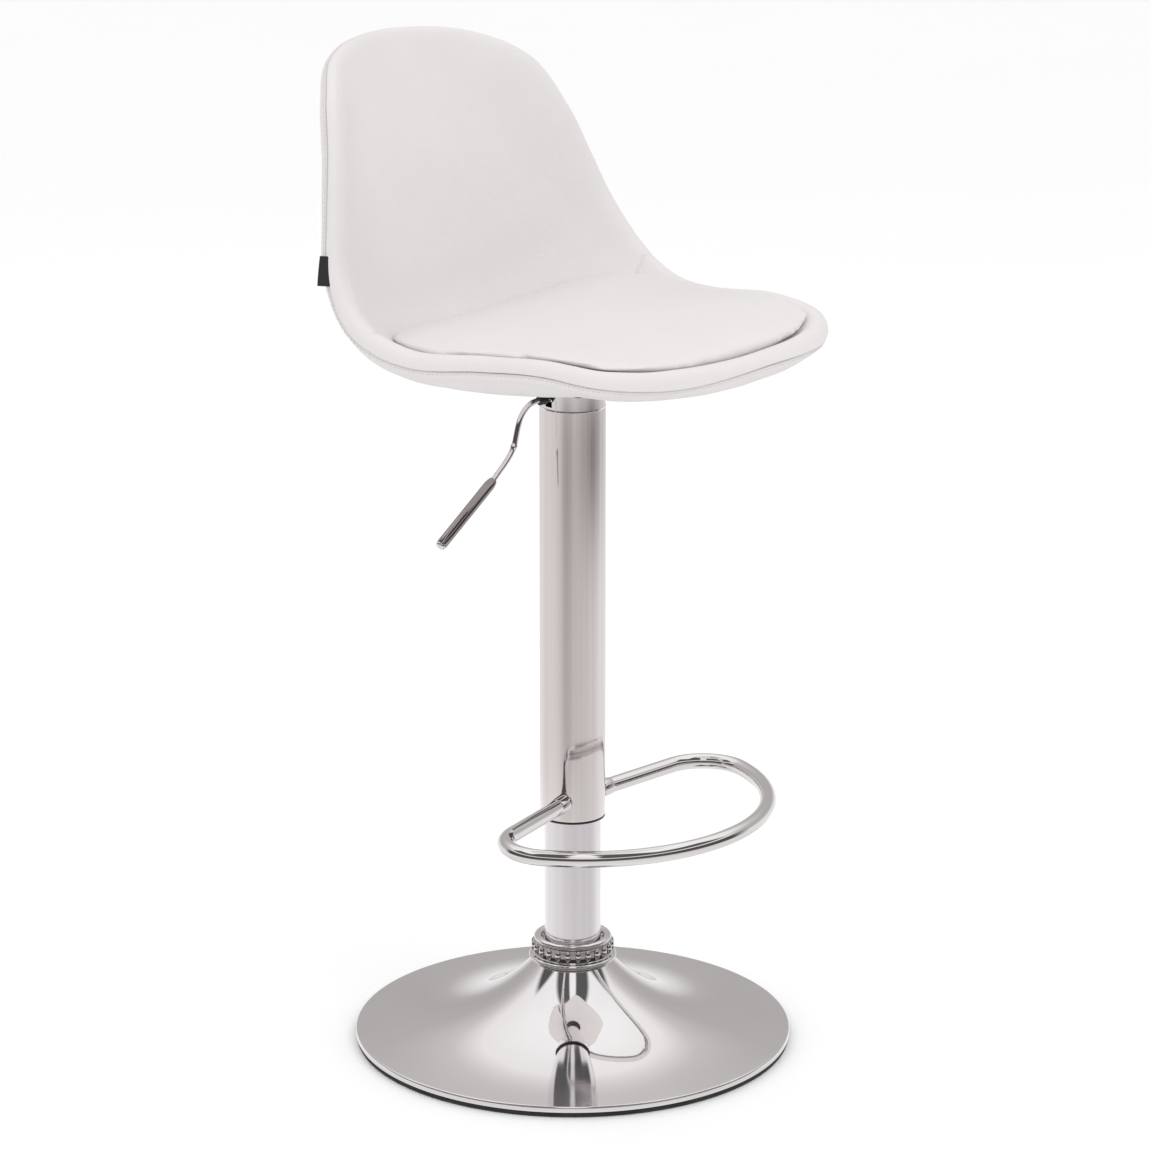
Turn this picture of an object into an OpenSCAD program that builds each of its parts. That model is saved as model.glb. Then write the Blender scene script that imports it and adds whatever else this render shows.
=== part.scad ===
// Adjustable swivel stool: spun trumpet base, fixed column, gas spring, sliding outer tube with a
// footrest hoop, and an upholstered bucket seat with a loose-look cushion.
// Origin: on the column axis at floor level. +Z up, the seat faces -Y, the release lever is at -X.
// Drawn at a middle seat height: the outer tube can travel both ways from here.

/* [Base] */
// Outer diameter of the spun base
base_d = 389; // [360:1:410]
// Height of the rubber ring that shows under the base
floor_ring_h = 4.5; // [3:0.5:6]
// Height of the base's upright lip, above the rubber ring
lip_h = 5.5; // [4:0.5:8]
// Height of the base's neck above the floor
neck_z = 74; // [65:1:85]
// Sheet thickness of the base
base_sheet = 2; // [1.5:0.1:2.5]

/* [Column] */
// Outer diameter of the fixed column
column_d = 50; // [50:1:50]
// Wall thickness of the fixed column
column_wall = 1.5; // [1.2:0.1:2]
// Height of the column's top end above the floor
column_top = 435; // [415:1:440]
// Height of the collar round the column's foot
collar_h = 22; // [18:1:26]

/* [Outer tube] */
// Outer diameter of the sliding tube
tube_d = 57.7; // [57:0.1:60]
// Wall thickness of the sliding tube
tube_wall = 1.55; // [1.2:0.05:1.8]
// Height of the tube's lower end above the floor
tube_bottom = 208; // [206:1:215]
// Height of the tube's upper end above the floor
tube_top = 583; // [580:1:586]

/* [Footrest] */
// Height of the footrest bar's centreline
footrest_z = 227; // [222:1:240]
// Diameter of the footrest bar
footrest_bar_d = 14; // [12:1:16]
// Radius of the footrest's front arc
footrest_front_r = 163; // [150:1:170]
// Radius of the footrest's two side corners
footrest_corner_r = 40; // [30:1:45]

/* [Gas spring] */
// Outer diameter of the gas cylinder
cylinder_d = 28; // [28:1:28]
// Diameter of the piston rod
rod_d = 8; // [8:1:8]
// Height of the cylinder's lower end above the floor
cylinder_bottom = 165; // [164:1:166]

/* [Lever] */
// Plan angle of the release lever, counterclockwise from +X
lever_dir = 170; // [160:1:200]
// Diameter of the lever's wire
lever_wire_d = 5; // [4:0.5:6]
// Diameter of the lever's grip
grip_d = 9; // [8:0.5:12]

/* [Seat] */
// Thickness of the moulded shell
shell_t = 8; // [6:1:9]
// Thickness of the padded front cover
front_cover_t = 7; // [5:1:8]
// Thickness of the padded rear cover
rear_cover_t = 5; // [4:1:6]
// Radius of the padded edge roll
edge_roll_r = 10.5; // [9:0.5:11]
// Height of the cushion's crown above the floor
cushion_top = 673; // [668:1:680]

/* [Hidden] */
$fn = 96;

chrome = [0.80, 0.81, 0.83];
bright_steel = [0.70, 0.71, 0.74];
dark_steel = [0.35, 0.36, 0.38];
cast_iron = [0.25, 0.25, 0.26];
black_rubber = [0.08, 0.08, 0.09];
black_plastic = [0.12, 0.12, 0.13];
brass = [0.78, 0.62, 0.32];
plywood = [0.80, 0.66, 0.46];
off_white = [0.93, 0.91, 0.90];

running = 0.05;          // radial clearance of every running fit

// ---- base -------------------------------------------------------------------------------------

base_r = base_d / 2;
lip_bottom = floor_ring_h;
lip_top = floor_ring_h + lip_h;
neck_r = 35;
outer_slope = 0.09;      // rise of the dish's shallow outer part, per mm of radius
flare_power = 3.4;       // how suddenly the dish turns up into the neck
dish_steps = 28;
weight_bottom = 5;
weight_top = 9;
weight_boss_top = 18;
weight_boss_r = 90;
weight_r = 172;
flange_t = 5;
bolt_ring_r = 45;
bolt_hole_r = 4.2;
bolt_count = 4;

// Height of the dish's top face at radius r
function dish_z(r) =
    let (rise = neck_z - lip_top - outer_slope * (base_r - neck_r))
    lip_top + outer_slope * (base_r - r) + rise * pow((base_r - r) / (base_r - neck_r), flare_power);

// Slope of the dish's top face at radius r, as an angle in degrees
function dish_angle(r) = atan((dish_z(r - 0.5) - dish_z(r + 0.5)));

// Radii along the dish, closer together towards the neck
function dish_radius(i) = neck_r + (base_r - neck_r) * pow(i / dish_steps, 1.6);

module floor_ring() {
    color(black_rubber)
    rotate_extrude()
    polygon([[181, 0], [base_r - 1.6, 0], [base_r - 0.7, 0.9], [base_r - 0.7, lip_bottom],
             [base_r - base_sheet - 0.1, lip_bottom], [base_r - base_sheet - 0.1, 8], [181, 8]]);
}

module base_shell() {
    top_face = [for (i = [0 : dish_steps - 1]) [dish_radius(i), dish_z(dish_radius(i))]];
    under_face = [for (i = [dish_steps - 1 : -1 : 0])
        let (r = dish_radius(i), a = dish_angle(r))
        [r - base_sheet * sin(a), dish_z(r) - base_sheet * cos(a)]];
    color(chrome)
    rotate_extrude($fn = 180)
    polygon(concat([[neck_r - base_sheet, neck_z + 4], [neck_r, neck_z + 4]], top_face,
                   [[base_r - 0.8, lip_top], [base_r, lip_top - 0.8], [base_r, lip_bottom],
                    [base_r - base_sheet, lip_bottom], [base_r - base_sheet, lip_top - base_sheet]],
                   under_face));
}

module counterweight() {
    color(cast_iron)
    difference() {
        rotate_extrude()
        polygon([[column_d / 2 + 1, weight_bottom], [weight_r, weight_bottom], [weight_r, weight_top],
                 [weight_boss_r + 12, weight_top], [weight_boss_r, weight_boss_top],
                 [column_d / 2 + 1, weight_boss_top]]);
        for (i = [0 : bolt_count - 1])
            rotate([0, 0, 45 + i * 360 / bolt_count])
            translate([bolt_ring_r, 0, 0])
            cylinder(r = bolt_hole_r, h = 30);
    }
}

module column_flange() {
    color(dark_steel)
    translate([0, 0, weight_boss_top])
    difference() {
        cylinder(r = 60, h = flange_t);
        translate([0, 0, -1]) cylinder(d = column_d, h = flange_t + 2);
        for (i = [0 : bolt_count - 1])
            rotate([0, 0, 45 + i * 360 / bolt_count])
            translate([bolt_ring_r, 0, -1])
            cylinder(r = bolt_hole_r, h = flange_t + 2);
    }
}

module column_bolts() {
    head_z = weight_boss_top + flange_t;
    color(dark_steel)
    for (i = [0 : bolt_count - 1])
        rotate([0, 0, 45 + i * 360 / bolt_count])
        translate([bolt_ring_r, 0, 0]) {
            translate([0, 0, head_z]) cylinder(r = 7.5, h = 5.3, $fn = 6);
            translate([0, 0, 6]) cylinder(r = 4, h = head_z - 6);
        }
}

plug_bottom = 14;
plug_top = 26;

module column_end_plug() {
    color(dark_steel)
    difference() {
        translate([0, 0, plug_bottom])
        cylinder(r = column_d / 2 - column_wall, h = plug_top - plug_bottom);
        cylinder(r = rod_d / 2 + running, h = 40);
    }
}

module column_tube() {
    color(bright_steel)
    translate([0, 0, plug_bottom])
    difference() {
        cylinder(d = column_d, h = column_top - plug_bottom);
        translate([0, 0, -1]) cylinder(r = column_d / 2 - column_wall, h = column_top);
    }
}

guide_bush_len = 70;

module guide_bush() {
    bore_r = cylinder_d / 2 + running;
    color(black_plastic)
    rotate_extrude()
    polygon([[bore_r, column_top - guide_bush_len],
             [column_d / 2 - column_wall, column_top - guide_bush_len],
             [column_d / 2 - column_wall, column_top], [column_d / 2 - 0.3, column_top],
             [column_d / 2 - 0.3, column_top + 3], [bore_r, column_top + 3]]);
}

// Cast ring round the column's foot: recessed top, bead band, angled flange at the bottom
module base_collar() {
    color(chrome)
    translate([0, 0, neck_z])
    rotate_extrude()
    polygon([[column_d / 2 + 0.2, 5], [neck_r + 0.3, 5], [neck_r + 0.3, 0], [37.5, 0.6],
             [38, 3], [35.5, 6], [34.8, 9], [34.8, 16], [33.5, 19.5], [31, collar_h], [29, collar_h],
             [27.6, collar_h - 3], [26.8, collar_h - 7], [column_d / 2 + 0.2, collar_h - 8]]);
}

// ---- swivel bearing and piston rod -------------------------------------------------------------

washer_t = 2;
ball_gap = 4;            // clear height between the two washers
ball_r = 1.85;
ball_ring_r = 8.5;
ball_count = 10;
bearing_z = plug_top + washer_t + ball_gap / 2;
upper_washer_z = plug_top + washer_t + ball_gap;
clip_t = 1.2;
clip_groove_r = 3.4;
lower_clip_z = 12.2;
upper_clip_z = upper_washer_z + washer_t;
rod_bottom = 9.5;
piston_z = 292;
piston_t = 12;

module thrust_washer_lower() {
    color(bright_steel)
    translate([0, 0, plug_top])
    difference() {
        cylinder(r = 12, h = washer_t);
        translate([0, 0, -1]) cylinder(r = rod_d / 2 + 0.3, h = washer_t + 2);
    }
}

module ball_places() {
    for (i = [0 : ball_count - 1])
        rotate([0, 0, i * 360 / ball_count])
        translate([ball_ring_r, 0, bearing_z])
        children();
}

module ball_cage() {
    color(brass)
    difference() {
        translate([0, 0, bearing_z - 0.8]) cylinder(r = 11.2, h = 1.6);
        translate([0, 0, bearing_z - 2]) cylinder(r = 5.8, h = 4);
        ball_places() translate([0, 0, -2]) cylinder(r = ball_r + 0.1, h = 4, $fn = 24);
    }
}

module thrust_balls() {
    color(bright_steel)
    ball_places() sphere(r = ball_r, $fn = 24);
}

module thrust_washer_upper() {
    color(bright_steel)
    translate([0, 0, upper_washer_z])
    difference() {
        cylinder(r = 12, h = washer_t);
        translate([0, 0, -1]) cylinder(r = rod_d / 2, h = washer_t + 2);
    }
}

// Snap ring that sits in one of the rod's grooves
module rod_clip(z, r) {
    color(dark_steel)
    translate([0, 0, z])
    difference() {
        cylinder(r = r, h = clip_t);
        translate([0, 0, -1]) cylinder(r = clip_groove_r, h = clip_t + 2);
        translate([0, -1.5, -1]) cube([r + 1, 3, clip_t + 2]);
    }
}

module rod_clip_upper() { rod_clip(upper_clip_z, 7.5); }

module rod_clip_lower() { rod_clip(lower_clip_z, 7); }

module piston_rod() {
    r = rod_d / 2;
    color(chrome)
    rotate_extrude()
    polygon([[0, rod_bottom], [r - 0.8, rod_bottom], [r, rod_bottom + 0.8], [r, lower_clip_z],
             [clip_groove_r, lower_clip_z], [clip_groove_r, lower_clip_z + clip_t],
             [r, lower_clip_z + clip_t], [r, upper_clip_z], [clip_groove_r, upper_clip_z],
             [clip_groove_r, upper_clip_z + clip_t], [r, upper_clip_z + clip_t],
             [r, piston_z + piston_t], [0, piston_z + piston_t]]);
}

cylinder_bore_r = 12.5;

module piston() {
    color(brass)
    translate([0, 0, piston_z])
    rotate_extrude()
    polygon([[rod_d / 2, 0], [12.2, 0], [12.2, 4.5], [10.5, 4.5], [10.5, 7.5], [12.2, 7.5],
             [12.2, piston_t], [rod_d / 2, piston_t]]);
}

module piston_ring() {
    color(black_plastic)
    translate([0, 0, piston_z + 4.5])
    difference() {
        cylinder(r = cylinder_bore_r - running, h = 3);
        translate([0, 0, -1]) cylinder(r = 10.5, h = 5);
    }
}

module rod_buffer() {
    color(black_rubber)
    rotate_extrude()
    polygon([[rod_d / 2, 36], [11, 36], [9, 42], [10.5, 46], [8, 55], [rod_d / 2, 55]]);
}

// ---- gas spring, outer tube and footrest -------------------------------------------------------

hub_bottom = 548;
hub_top = 601;
taper_low_r = cylinder_d / 2;
taper_high_r = taper_low_r - 0.8;
button_r = 3.4;

module gas_cylinder() {
    color(dark_steel)
    translate([0, 0, cylinder_bottom])
    difference() {
        cylinder(d = cylinder_d, h = hub_bottom - cylinder_bottom);
        translate([0, 0, -1]) cylinder(r = cylinder_bore_r, h = hub_bottom);
    }
}

module cylinder_end_cap() {
    color(bright_steel)
    translate([0, 0, cylinder_bottom + 1])
    difference() {
        cylinder(r = cylinder_bore_r, h = 18);
        translate([0, 0, -1]) cylinder(r = rod_d / 2 + running, h = 20);
    }
}

// Tapered head of the gas spring, with the bore of the release button
module valve_head() {
    color(bright_steel)
    difference() {
        union() {
            translate([0, 0, hub_bottom - 18]) cylinder(r = cylinder_bore_r, h = 18);
            translate([0, 0, hub_bottom])
            cylinder(r1 = taper_low_r, r2 = taper_high_r, h = tube_top - hub_bottom);
        }
        translate([0, 0, hub_bottom - 8]) cylinder(r = button_r + running, h = 60);
    }
}

module outer_tube() {
    color(chrome)
    translate([0, 0, tube_bottom + 2])
    difference() {
        cylinder(d = tube_d, h = tube_top - tube_bottom - 2);
        translate([0, 0, -1]) cylinder(r = tube_d / 2 - tube_wall, h = tube_top);
    }
}

// Black bush that guides the outer tube on the column: its flange shows below the tube
module tube_bush() {
    bore_r = column_d / 2 + running;
    color(black_plastic)
    rotate_extrude()
    polygon([[bore_r, tube_bottom], [tube_d / 2 - 0.4, tube_bottom], [tube_d / 2, tube_bottom + 0.4],
             [tube_d / 2, tube_bottom + 2], [tube_d / 2 - tube_wall, tube_bottom + 2],
             [tube_d / 2 - tube_wall, tube_bottom + 34], [bore_r, tube_bottom + 34]]);
}

arm_tilt = 8;            // how far the footrest's arms lean forward, in degrees
arm_start = [25, -10];   // plan point where an arm's centreline meets the outer tube
front_centre = [0, -12]; // plan centre of the footrest's front arc
socket_r = 9;
socket_len = 7;
arm_dir = [cos(arm_tilt), -sin(arm_tilt)];
// The corner arc touches both the arm's line and the front arc from inside
corner_base = arm_start + footrest_corner_r * [-sin(arm_tilt), -cos(arm_tilt)] - front_centre;
corner_b = corner_base * arm_dir;
corner_c = corner_base * corner_base - pow(footrest_front_r - footrest_corner_r, 2);
arm_len = -corner_b + sqrt(corner_b * corner_b - corner_c);
corner_centre = front_centre + corner_base + arm_len * arm_dir;
front_half_angle = atan2(corner_centre.x - front_centre.x, front_centre.y - corner_centre.y);

arm_gap = 7;             // the bar starts this far along the arm, inside its socket

// Points along a plan arc
function arc_points(centre, radius, from_angle, to_angle, steps) =
    [for (i = [0 : steps])
        let (a = from_angle + (to_angle - from_angle) * i / steps)
        [centre.x + radius * cos(a), centre.y + radius * sin(a), 0]];

function flipped(points) = [for (i = [len(points) - 1 : -1 : 0]) [-points[i].x, points[i].y, points[i].z]];

// Round bar swept along a path of points, with flat ends; up is any direction off the path
module swept_bar(path, bar_r, sides, up) {
    n = len(path);
    function ring_frame(i) =
        let (along = path[min(i + 1, n - 1)] - path[max(i - 1, 0)],
             side = cross(along, up), lift = cross(side, along))
        [side / norm(side), lift / norm(lift)];
    points = [for (i = [0 : n - 1])
        let (f = ring_frame(i))
        for (j = [0 : sides - 1])
            path[i] + bar_r * (cos(j * 360 / sides) * f[0] + sin(j * 360 / sides) * f[1])];
    function id(i, j) = i * sides + (j % sides);
    polyhedron(points, concat(
        [[for (j = [sides - 1 : -1 : 0]) j]],
        [[for (j = [0 : sides - 1]) (n - 1) * sides + j]],
        [for (i = [0 : n - 2]) for (j = [0 : sides - 1]) for (half = [0, 1])
            half == 0 ? [id(i, j), id(i, j + 1), id(i + 1, j + 1)]
                      : [id(i, j), id(i + 1, j + 1), id(i + 1, j)]]));
}

module footrest_hoop() {
    right_arm = [for (s = [0 : 3])
        let (p = arm_start + (arm_gap + (arm_len - arm_gap) * s / 4) * arm_dir)
        [p.x, p.y, 0]];
    right_corner = arc_points(corner_centre, footrest_corner_r, 90 - arm_tilt, front_half_angle - 90, 12);
    right_front = arc_points(front_centre, footrest_front_r, front_half_angle - 90, -90, 12);
    right_half = concat(right_arm, right_corner, [for (i = [1 : 12]) right_front[i]]);
    left_half = flipped(right_half);
    color(chrome)
    translate([0, 0, footrest_z])
    swept_bar(concat(right_half, [for (i = [1 : len(left_half) - 1]) left_half[i]]),
              footrest_bar_d / 2, 12, [0, 0, 1]);
}

// Welded sockets that hold the two ends of the hoop against the outer tube
module footrest_sockets() {
    color(chrome)
    translate([0, 0, footrest_z])
    for (side = [0, 1])
        mirror([side, 0, 0])
        difference() {
            translate([arm_start.x, arm_start.y, 0])
            rotate([0, 0, -arm_tilt])
            rotate([0, 90, 0])
            cylinder(r1 = socket_r, r2 = socket_r - 0.8, h = arm_gap + socket_len, $fn = 48);
            translate([arm_start.x, arm_start.y, 0])
            rotate([0, 0, -arm_tilt])
            translate([arm_gap, 0, 0])
            rotate([0, 90, 0])
            cylinder(d = footrest_bar_d, h = 20, $fn = 32);
            translate([0, 0, -20]) cylinder(d = tube_d, h = 40);
        }
}

// ---- seat hub, plate and fixings ---------------------------------------------------------------

pivot_r = 20;            // distance of the lever's pivot from the column axis
pivot_z = 592;
pin_r = 2;
slot_w = 8;
plate_t = 3;
plate_r = 45;
screw_ring_r = 36.5;
screw_count = 4;
block_top = hub_top + plate_t + 6;

module screw_places() {
    for (i = [0 : screw_count - 1])
        rotate([0, 0, 45 + i * 360 / screw_count])
        translate([screw_ring_r, 0, 0])
        children();
}

module seat_hub() {
    color(chrome)
    difference() {
        union() {
            translate([0, 0, hub_bottom]) cylinder(r = tube_d / 2 - tube_wall, h = tube_top - hub_bottom);
            translate([0, 0, tube_top]) cylinder(r = tube_d / 2 - 0.5, h = hub_top - tube_top);
        }
        translate([0, 0, hub_bottom])
        cylinder(r1 = taper_low_r, r2 = taper_high_r, h = tube_top - hub_bottom);
        translate([0, 0, tube_top]) cylinder(r = 17, h = hub_top);
        rotate([0, 0, lever_dir]) {
            translate([0, -slot_w / 2, pivot_z - 7]) cube([40, slot_w, 30]);
            translate([pivot_r, -11, pivot_z]) rotate([-90, 0, 0]) cylinder(r = pin_r, h = 22, $fn = 32);
        }
    }
}

module lever_pivot_pin() {
    color(bright_steel)
    rotate([0, 0, lever_dir])
    translate([pivot_r, -11, pivot_z])
    rotate([-90, 0, 0])
    cylinder(r = pin_r, h = 22, $fn = 32);
}

module seat_plate() {
    color(dark_steel)
    translate([0, 0, hub_top])
    difference() {
        cylinder(r = plate_r, h = plate_t);
        screw_places() translate([0, 0, -1]) cylinder(r = 3.3, h = plate_t + 2, $fn = 32);
    }
}

module mount_block() {
    color(plywood)
    difference() {
        translate([0, 0, hub_top + plate_t]) cylinder(r = plate_r - 1, h = 6);
        screw_places() cylinder(r = 4.2, h = 700, $fn = 32);
    }
}

module seat_screws() {
    color(dark_steel)
    screw_places() {
        translate([0, 0, hub_top - 3])
        difference() {
            cylinder(r1 = 3.6, r2 = 5.2, h = 3, $fn = 32);
            translate([0, 0, -1]) cylinder(r = 1.8, h = 2.5, $fn = 6);
        }
        translate([0, 0, hub_top]) cylinder(r = 3, h = plate_t + 6, $fn = 32);
    }
}

module t_nuts() {
    color(bright_steel)
    screw_places()
    difference() {
        union() {
            translate([0, 0, hub_top + plate_t + 0.2]) cylinder(r = 4.2, h = 5.8, $fn = 32);
            translate([0, 0, block_top]) cylinder(r = 8, h = 1.2, $fn = 32);
        }
        cylinder(r = 3, h = 700, $fn = 32);
    }
}

// ---- release lever -----------------------------------------------------------------------------

// The wire's centreline as [distance out from the column axis, height]
lever_path = [[24, 592.3], [33, 592.6], [42, 592.8], [50, 591], [56.5, 586.5], [61, 580.5],
              [64, 573], [66, 566], [68, 559], [71, 553], [77, 546], [85, 538.7], [94, 530.5]];
grip_start = [92, 532];
grip_end = [152, 486];
grip_len = norm(grip_end - grip_start);

// Places its children along the lever: local +Z runs from a towards b in the lever's own plane
module along_lever(a, b) {
    rotate([0, 0, lever_dir])
    translate([a[0], 0, a[1]])
    rotate([0, 90 - atan2(b[1] - a[1], b[0] - a[0]), 0])
    children();
}

// Flat tongue that presses the button, with the eye on the pivot pin
module lever_arm() {
    color(chrome)
    rotate([0, 0, lever_dir])
    difference() {
        union() {
            translate([-4, -3, pivot_z - 2.6]) cube([pivot_r + 10, 6, 5.2]);
            translate([pivot_r, -3.5, pivot_z]) rotate([-90, 0, 0]) cylinder(r = 4.6, h = 7, $fn = 32);
        }
        translate([pivot_r, -5, pivot_z])
        rotate([-90, 0, 0])
        cylinder(r = pin_r + running, h = 10, $fn = 32);
    }
}

module lever_wire() {
    color(chrome)
    rotate([0, 0, lever_dir])
    swept_bar([for (p = lever_path) [p[0], 0, p[1]]], lever_wire_d / 2, 10, [0, 1, 0]);
}

module lever_grip() {
    r = grip_d / 2;
    color(chrome)
    along_lever(grip_start, grip_end)
    rotate_extrude($fn = 48)
    polygon([[0, 0], [r - 1.4, 0], [r, 3], [r, grip_len], [0, grip_len]]);
}

module grip_cap() {
    r = grip_d / 2;
    color(chrome)
    along_lever(grip_end, 2 * grip_end - grip_start)
    rotate_extrude($fn = 48)
    polygon([[0, 0], [r, 0], [r, 1.6], [r - 0.6, 2.6], [r - 1.8, 3.2], [0, 3.2]]);
}

// Black sleeve on the wire where it leaves the hub
module lever_bush() {
    wire_r = lever_wire_d / 2;
    color(black_plastic)
    along_lever([31, 592.5], [42, 592.8])
    rotate_extrude($fn = 32)
    polygon([[wire_r, 0], [wire_r + 1.8, 0], [wire_r + 1.8, 2.6], [wire_r + 1, 3.2], [wire_r + 1, 5],
             [wire_r + 1.8, 5.6], [wire_r + 1.8, 8], [wire_r + 1.2, 9], [wire_r, 9]]);
}

button_bottom = hub_bottom + 4;
button_top = pivot_z - 3.1; // just under the lever's tongue

module release_button() {
    color(bright_steel)
    translate([0, 0, button_bottom]) cylinder(r = button_r, h = button_top - button_bottom, $fn = 32);
}

// ---- seat --------------------------------------------------------------------------------------

// The seat is a bucket. Its edge runs from the front centre (station 0) round one side to the top
// centre of the back (last station); the other side mirrors it. Ribs join the edge to the middle.
// Edge of the seat as [half width, y, z]
edge_points = [[0, -198, 648], [92, -184, 648], [148, -146, 651], [161, -92, 655], [164, -32, 651],
               [184, 28, 651], [195, 76, 673], [188, 106, 714], [173, 120, 757], [155, 134, 803],
               [130, 156, 846], [78, 192, 870], [0, 213, 876]];
// Middle line of the seat at the same stations, as [0, y, z]
middle_points = [[0, -198, 648], [0, -190, 642], [0, -154, 634], [0, -98, 624], [0, -36, 614],
                 [0, 30, 611], [0, 92, 617], [0, 138, 647], [0, 160, 700], [0, 178, 760],
                 [0, 195, 815], [0, 208, 858], [0, 213, 876]];
last_station = len(edge_points) - 1;
rib_power = 2.6;         // how late a rib curves up towards the edge

// Point i of a list that carries on past both ends as its own mirror image
function mirrored_point(v, i) =
    i < 0 ? [-v[-i].x, v[-i].y, v[-i].z] :
    i > last_station ? [-v[2 * last_station - i].x, v[2 * last_station - i].y, v[2 * last_station - i].z] :
    v[i];

// Smooth curve through four neighbouring points, u from the second to the third
function smooth(a, b, c, d, u) =
    0.5 * (2 * b + (c - a) * u + (2 * a - 5 * b + 4 * c - d) * u * u + (3 * b - a - 3 * c + d) * u * u * u);

function curve_at(v, k) =
    let (i = min(floor(k), last_station - 1))
    smooth(mirrored_point(v, i - 1), mirrored_point(v, i), mirrored_point(v, i + 1),
           mirrored_point(v, i + 2), k - i);

// Point of the seat's middle surface: station k, and t from -1 to 1 across it
function seat_point(k, t) =
    let (e = curve_at(edge_points, k), m = curve_at(middle_points, k), b = pow(abs(t), rib_power))
    [e.x * t, m.y + (e.y - m.y) * b, m.z + (e.z - m.z) * b];

// Unit normal of that surface, towards the sitter
function seat_normal(k, t) =
    let (h = 0.01,
         across = seat_point(k, t + h) - seat_point(k, t - h),
         along = seat_point(k + h, t) - seat_point(k - h, t),
         n = cross(across, along))
    n / norm(n);

function offset_point(k, t, d) = seat_point(k, t) + d * seat_normal(k, t);

layer_first = 0.15;
layer_stations = 26;
layer_columns = 14;
layer_reach = 0.97;      // how far the layers reach towards the edge, as a share of a rib

// Closed sheet of the seat between two offsets from its middle surface
module seat_layer(low, high) {
    rows = layer_stations + 1;
    cols = layer_columns + 1;
    span = last_station - 2 * layer_first;
    function k_of(i) = layer_first + span * i / layer_stations;
    function t_of(j) = layer_reach * (2 * j / layer_columns - 1);
    function id(side, i, j) = side * rows * cols + i * cols + j;
    points = [for (d = [low, high]) for (i = [0 : layer_stations]) for (j = [0 : layer_columns])
        offset_point(k_of(i), t_of(j), d)];
    faces = concat(
        [for (i = [0 : layer_stations - 1]) for (j = [0 : layer_columns - 1]) for (half = [0, 1])
            half == 0 ? [id(0, i, j), id(0, i, j + 1), id(0, i + 1, j + 1)]
                      : [id(0, i, j), id(0, i + 1, j + 1), id(0, i + 1, j)]],
        [for (i = [0 : layer_stations - 1]) for (j = [0 : layer_columns - 1]) for (half = [0, 1])
            half == 0 ? [id(1, i, j), id(1, i + 1, j + 1), id(1, i, j + 1)]
                      : [id(1, i, j), id(1, i + 1, j), id(1, i + 1, j + 1)]],
        [for (i = [0 : layer_stations - 1]) for (half = [0, 1])
            half == 0 ? [id(0, i, 0), id(0, i + 1, 0), id(1, i + 1, 0)]
                      : [id(0, i, 0), id(1, i + 1, 0), id(1, i, 0)]],
        [for (i = [0 : layer_stations - 1]) for (half = [0, 1])
            half == 0 ? [id(0, i, cols - 1), id(1, i, cols - 1), id(1, i + 1, cols - 1)]
                      : [id(0, i, cols - 1), id(1, i + 1, cols - 1), id(0, i + 1, cols - 1)]],
        [for (j = [0 : layer_columns - 1]) for (half = [0, 1])
            half == 0 ? [id(0, 0, j), id(1, 0, j), id(1, 0, j + 1)]
                      : [id(0, 0, j), id(1, 0, j + 1), id(0, 0, j + 1)]],
        [for (j = [0 : layer_columns - 1]) for (half = [0, 1])
            half == 0 ? [id(0, rows - 1, j), id(0, rows - 1, j + 1), id(1, rows - 1, j + 1)]
                      : [id(0, rows - 1, j), id(1, rows - 1, j + 1), id(1, rows - 1, j)]]);
    polyhedron(points, faces);
}

module seat_shell() {
    color(plywood) seat_layer(-shell_t / 2, shell_t / 2);
}

module front_cover() {
    color(off_white) seat_layer(shell_t / 2, shell_t / 2 + front_cover_t);
}

module rear_cover() {
    color(off_white) seat_layer(-shell_t / 2 - rear_cover_t, -shell_t / 2);
}

roll_rings = 88;
roll_sides = 12;
roll_aim = [0, 10, 740]; // point inside the seat that the ring frames are turned to

// Point on the whole closed edge, s from 0 (front centre) to 1 all the way round
function edge_point(s) =
    let (k = 2 * last_station * s)
    k <= last_station ? curve_at(edge_points, k) :
    let (e = curve_at(edge_points, 2 * last_station - k)) [-e.x, e.y, e.z];

module edge_roll() {
    function ring_frame(s) =
        let (p = edge_point(s),
             ahead = edge_point(s < 0.998 ? s + 0.002 : s - 0.998),
             behind = edge_point(s > 0.002 ? s - 0.002 : s + 0.998),
             along = (ahead - behind) / norm(ahead - behind),
             out = (p - roll_aim) - ((p - roll_aim) * along) * along,
             side = out / norm(out))
        [p, side, cross(along, side)];
    points = [for (i = [0 : roll_rings - 1])
        let (f = ring_frame(i / roll_rings))
        for (j = [0 : roll_sides - 1])
            let (a = j * 360 / roll_sides)
            f[0] + edge_roll_r * (cos(a) * f[1] + sin(a) * f[2])];
    function id(i, j) = (i % roll_rings) * roll_sides + (j % roll_sides);
    faces = [for (i = [0 : roll_rings - 1]) for (j = [0 : roll_sides - 1]) for (half = [0, 1])
        half == 0 ? [id(i, j), id(i + 1, j), id(i + 1, j + 1)]
                  : [id(i, j), id(i + 1, j + 1), id(i, j + 1)]];
    color(off_white) polyhedron(points, faces);
}

cushion_mid_station = 3.5;
cushion_half_stations = 3.0;
cushion_reach = 0.95;
cushion_squareness = 5;
cushion_clear = 1.5;     // gap between the cushion's underside and the front cover
cushion_lift = shell_t / 2 + front_cover_t + cushion_clear;
cushion_edge_h = 3;
cushion_rings = 7;
cushion_sides = 40;

// Seat station and rib position of the cushion at share e from its middle, in direction a
function cushion_kt(e, a) =
    let (g = pow(pow(abs(cos(a)), cushion_squareness) + pow(abs(sin(a)), cushion_squareness),
                 -1 / cushion_squareness))
    [cushion_mid_station + cushion_half_stations * e * g * sin(a), cushion_reach * e * g * cos(a)];

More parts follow.
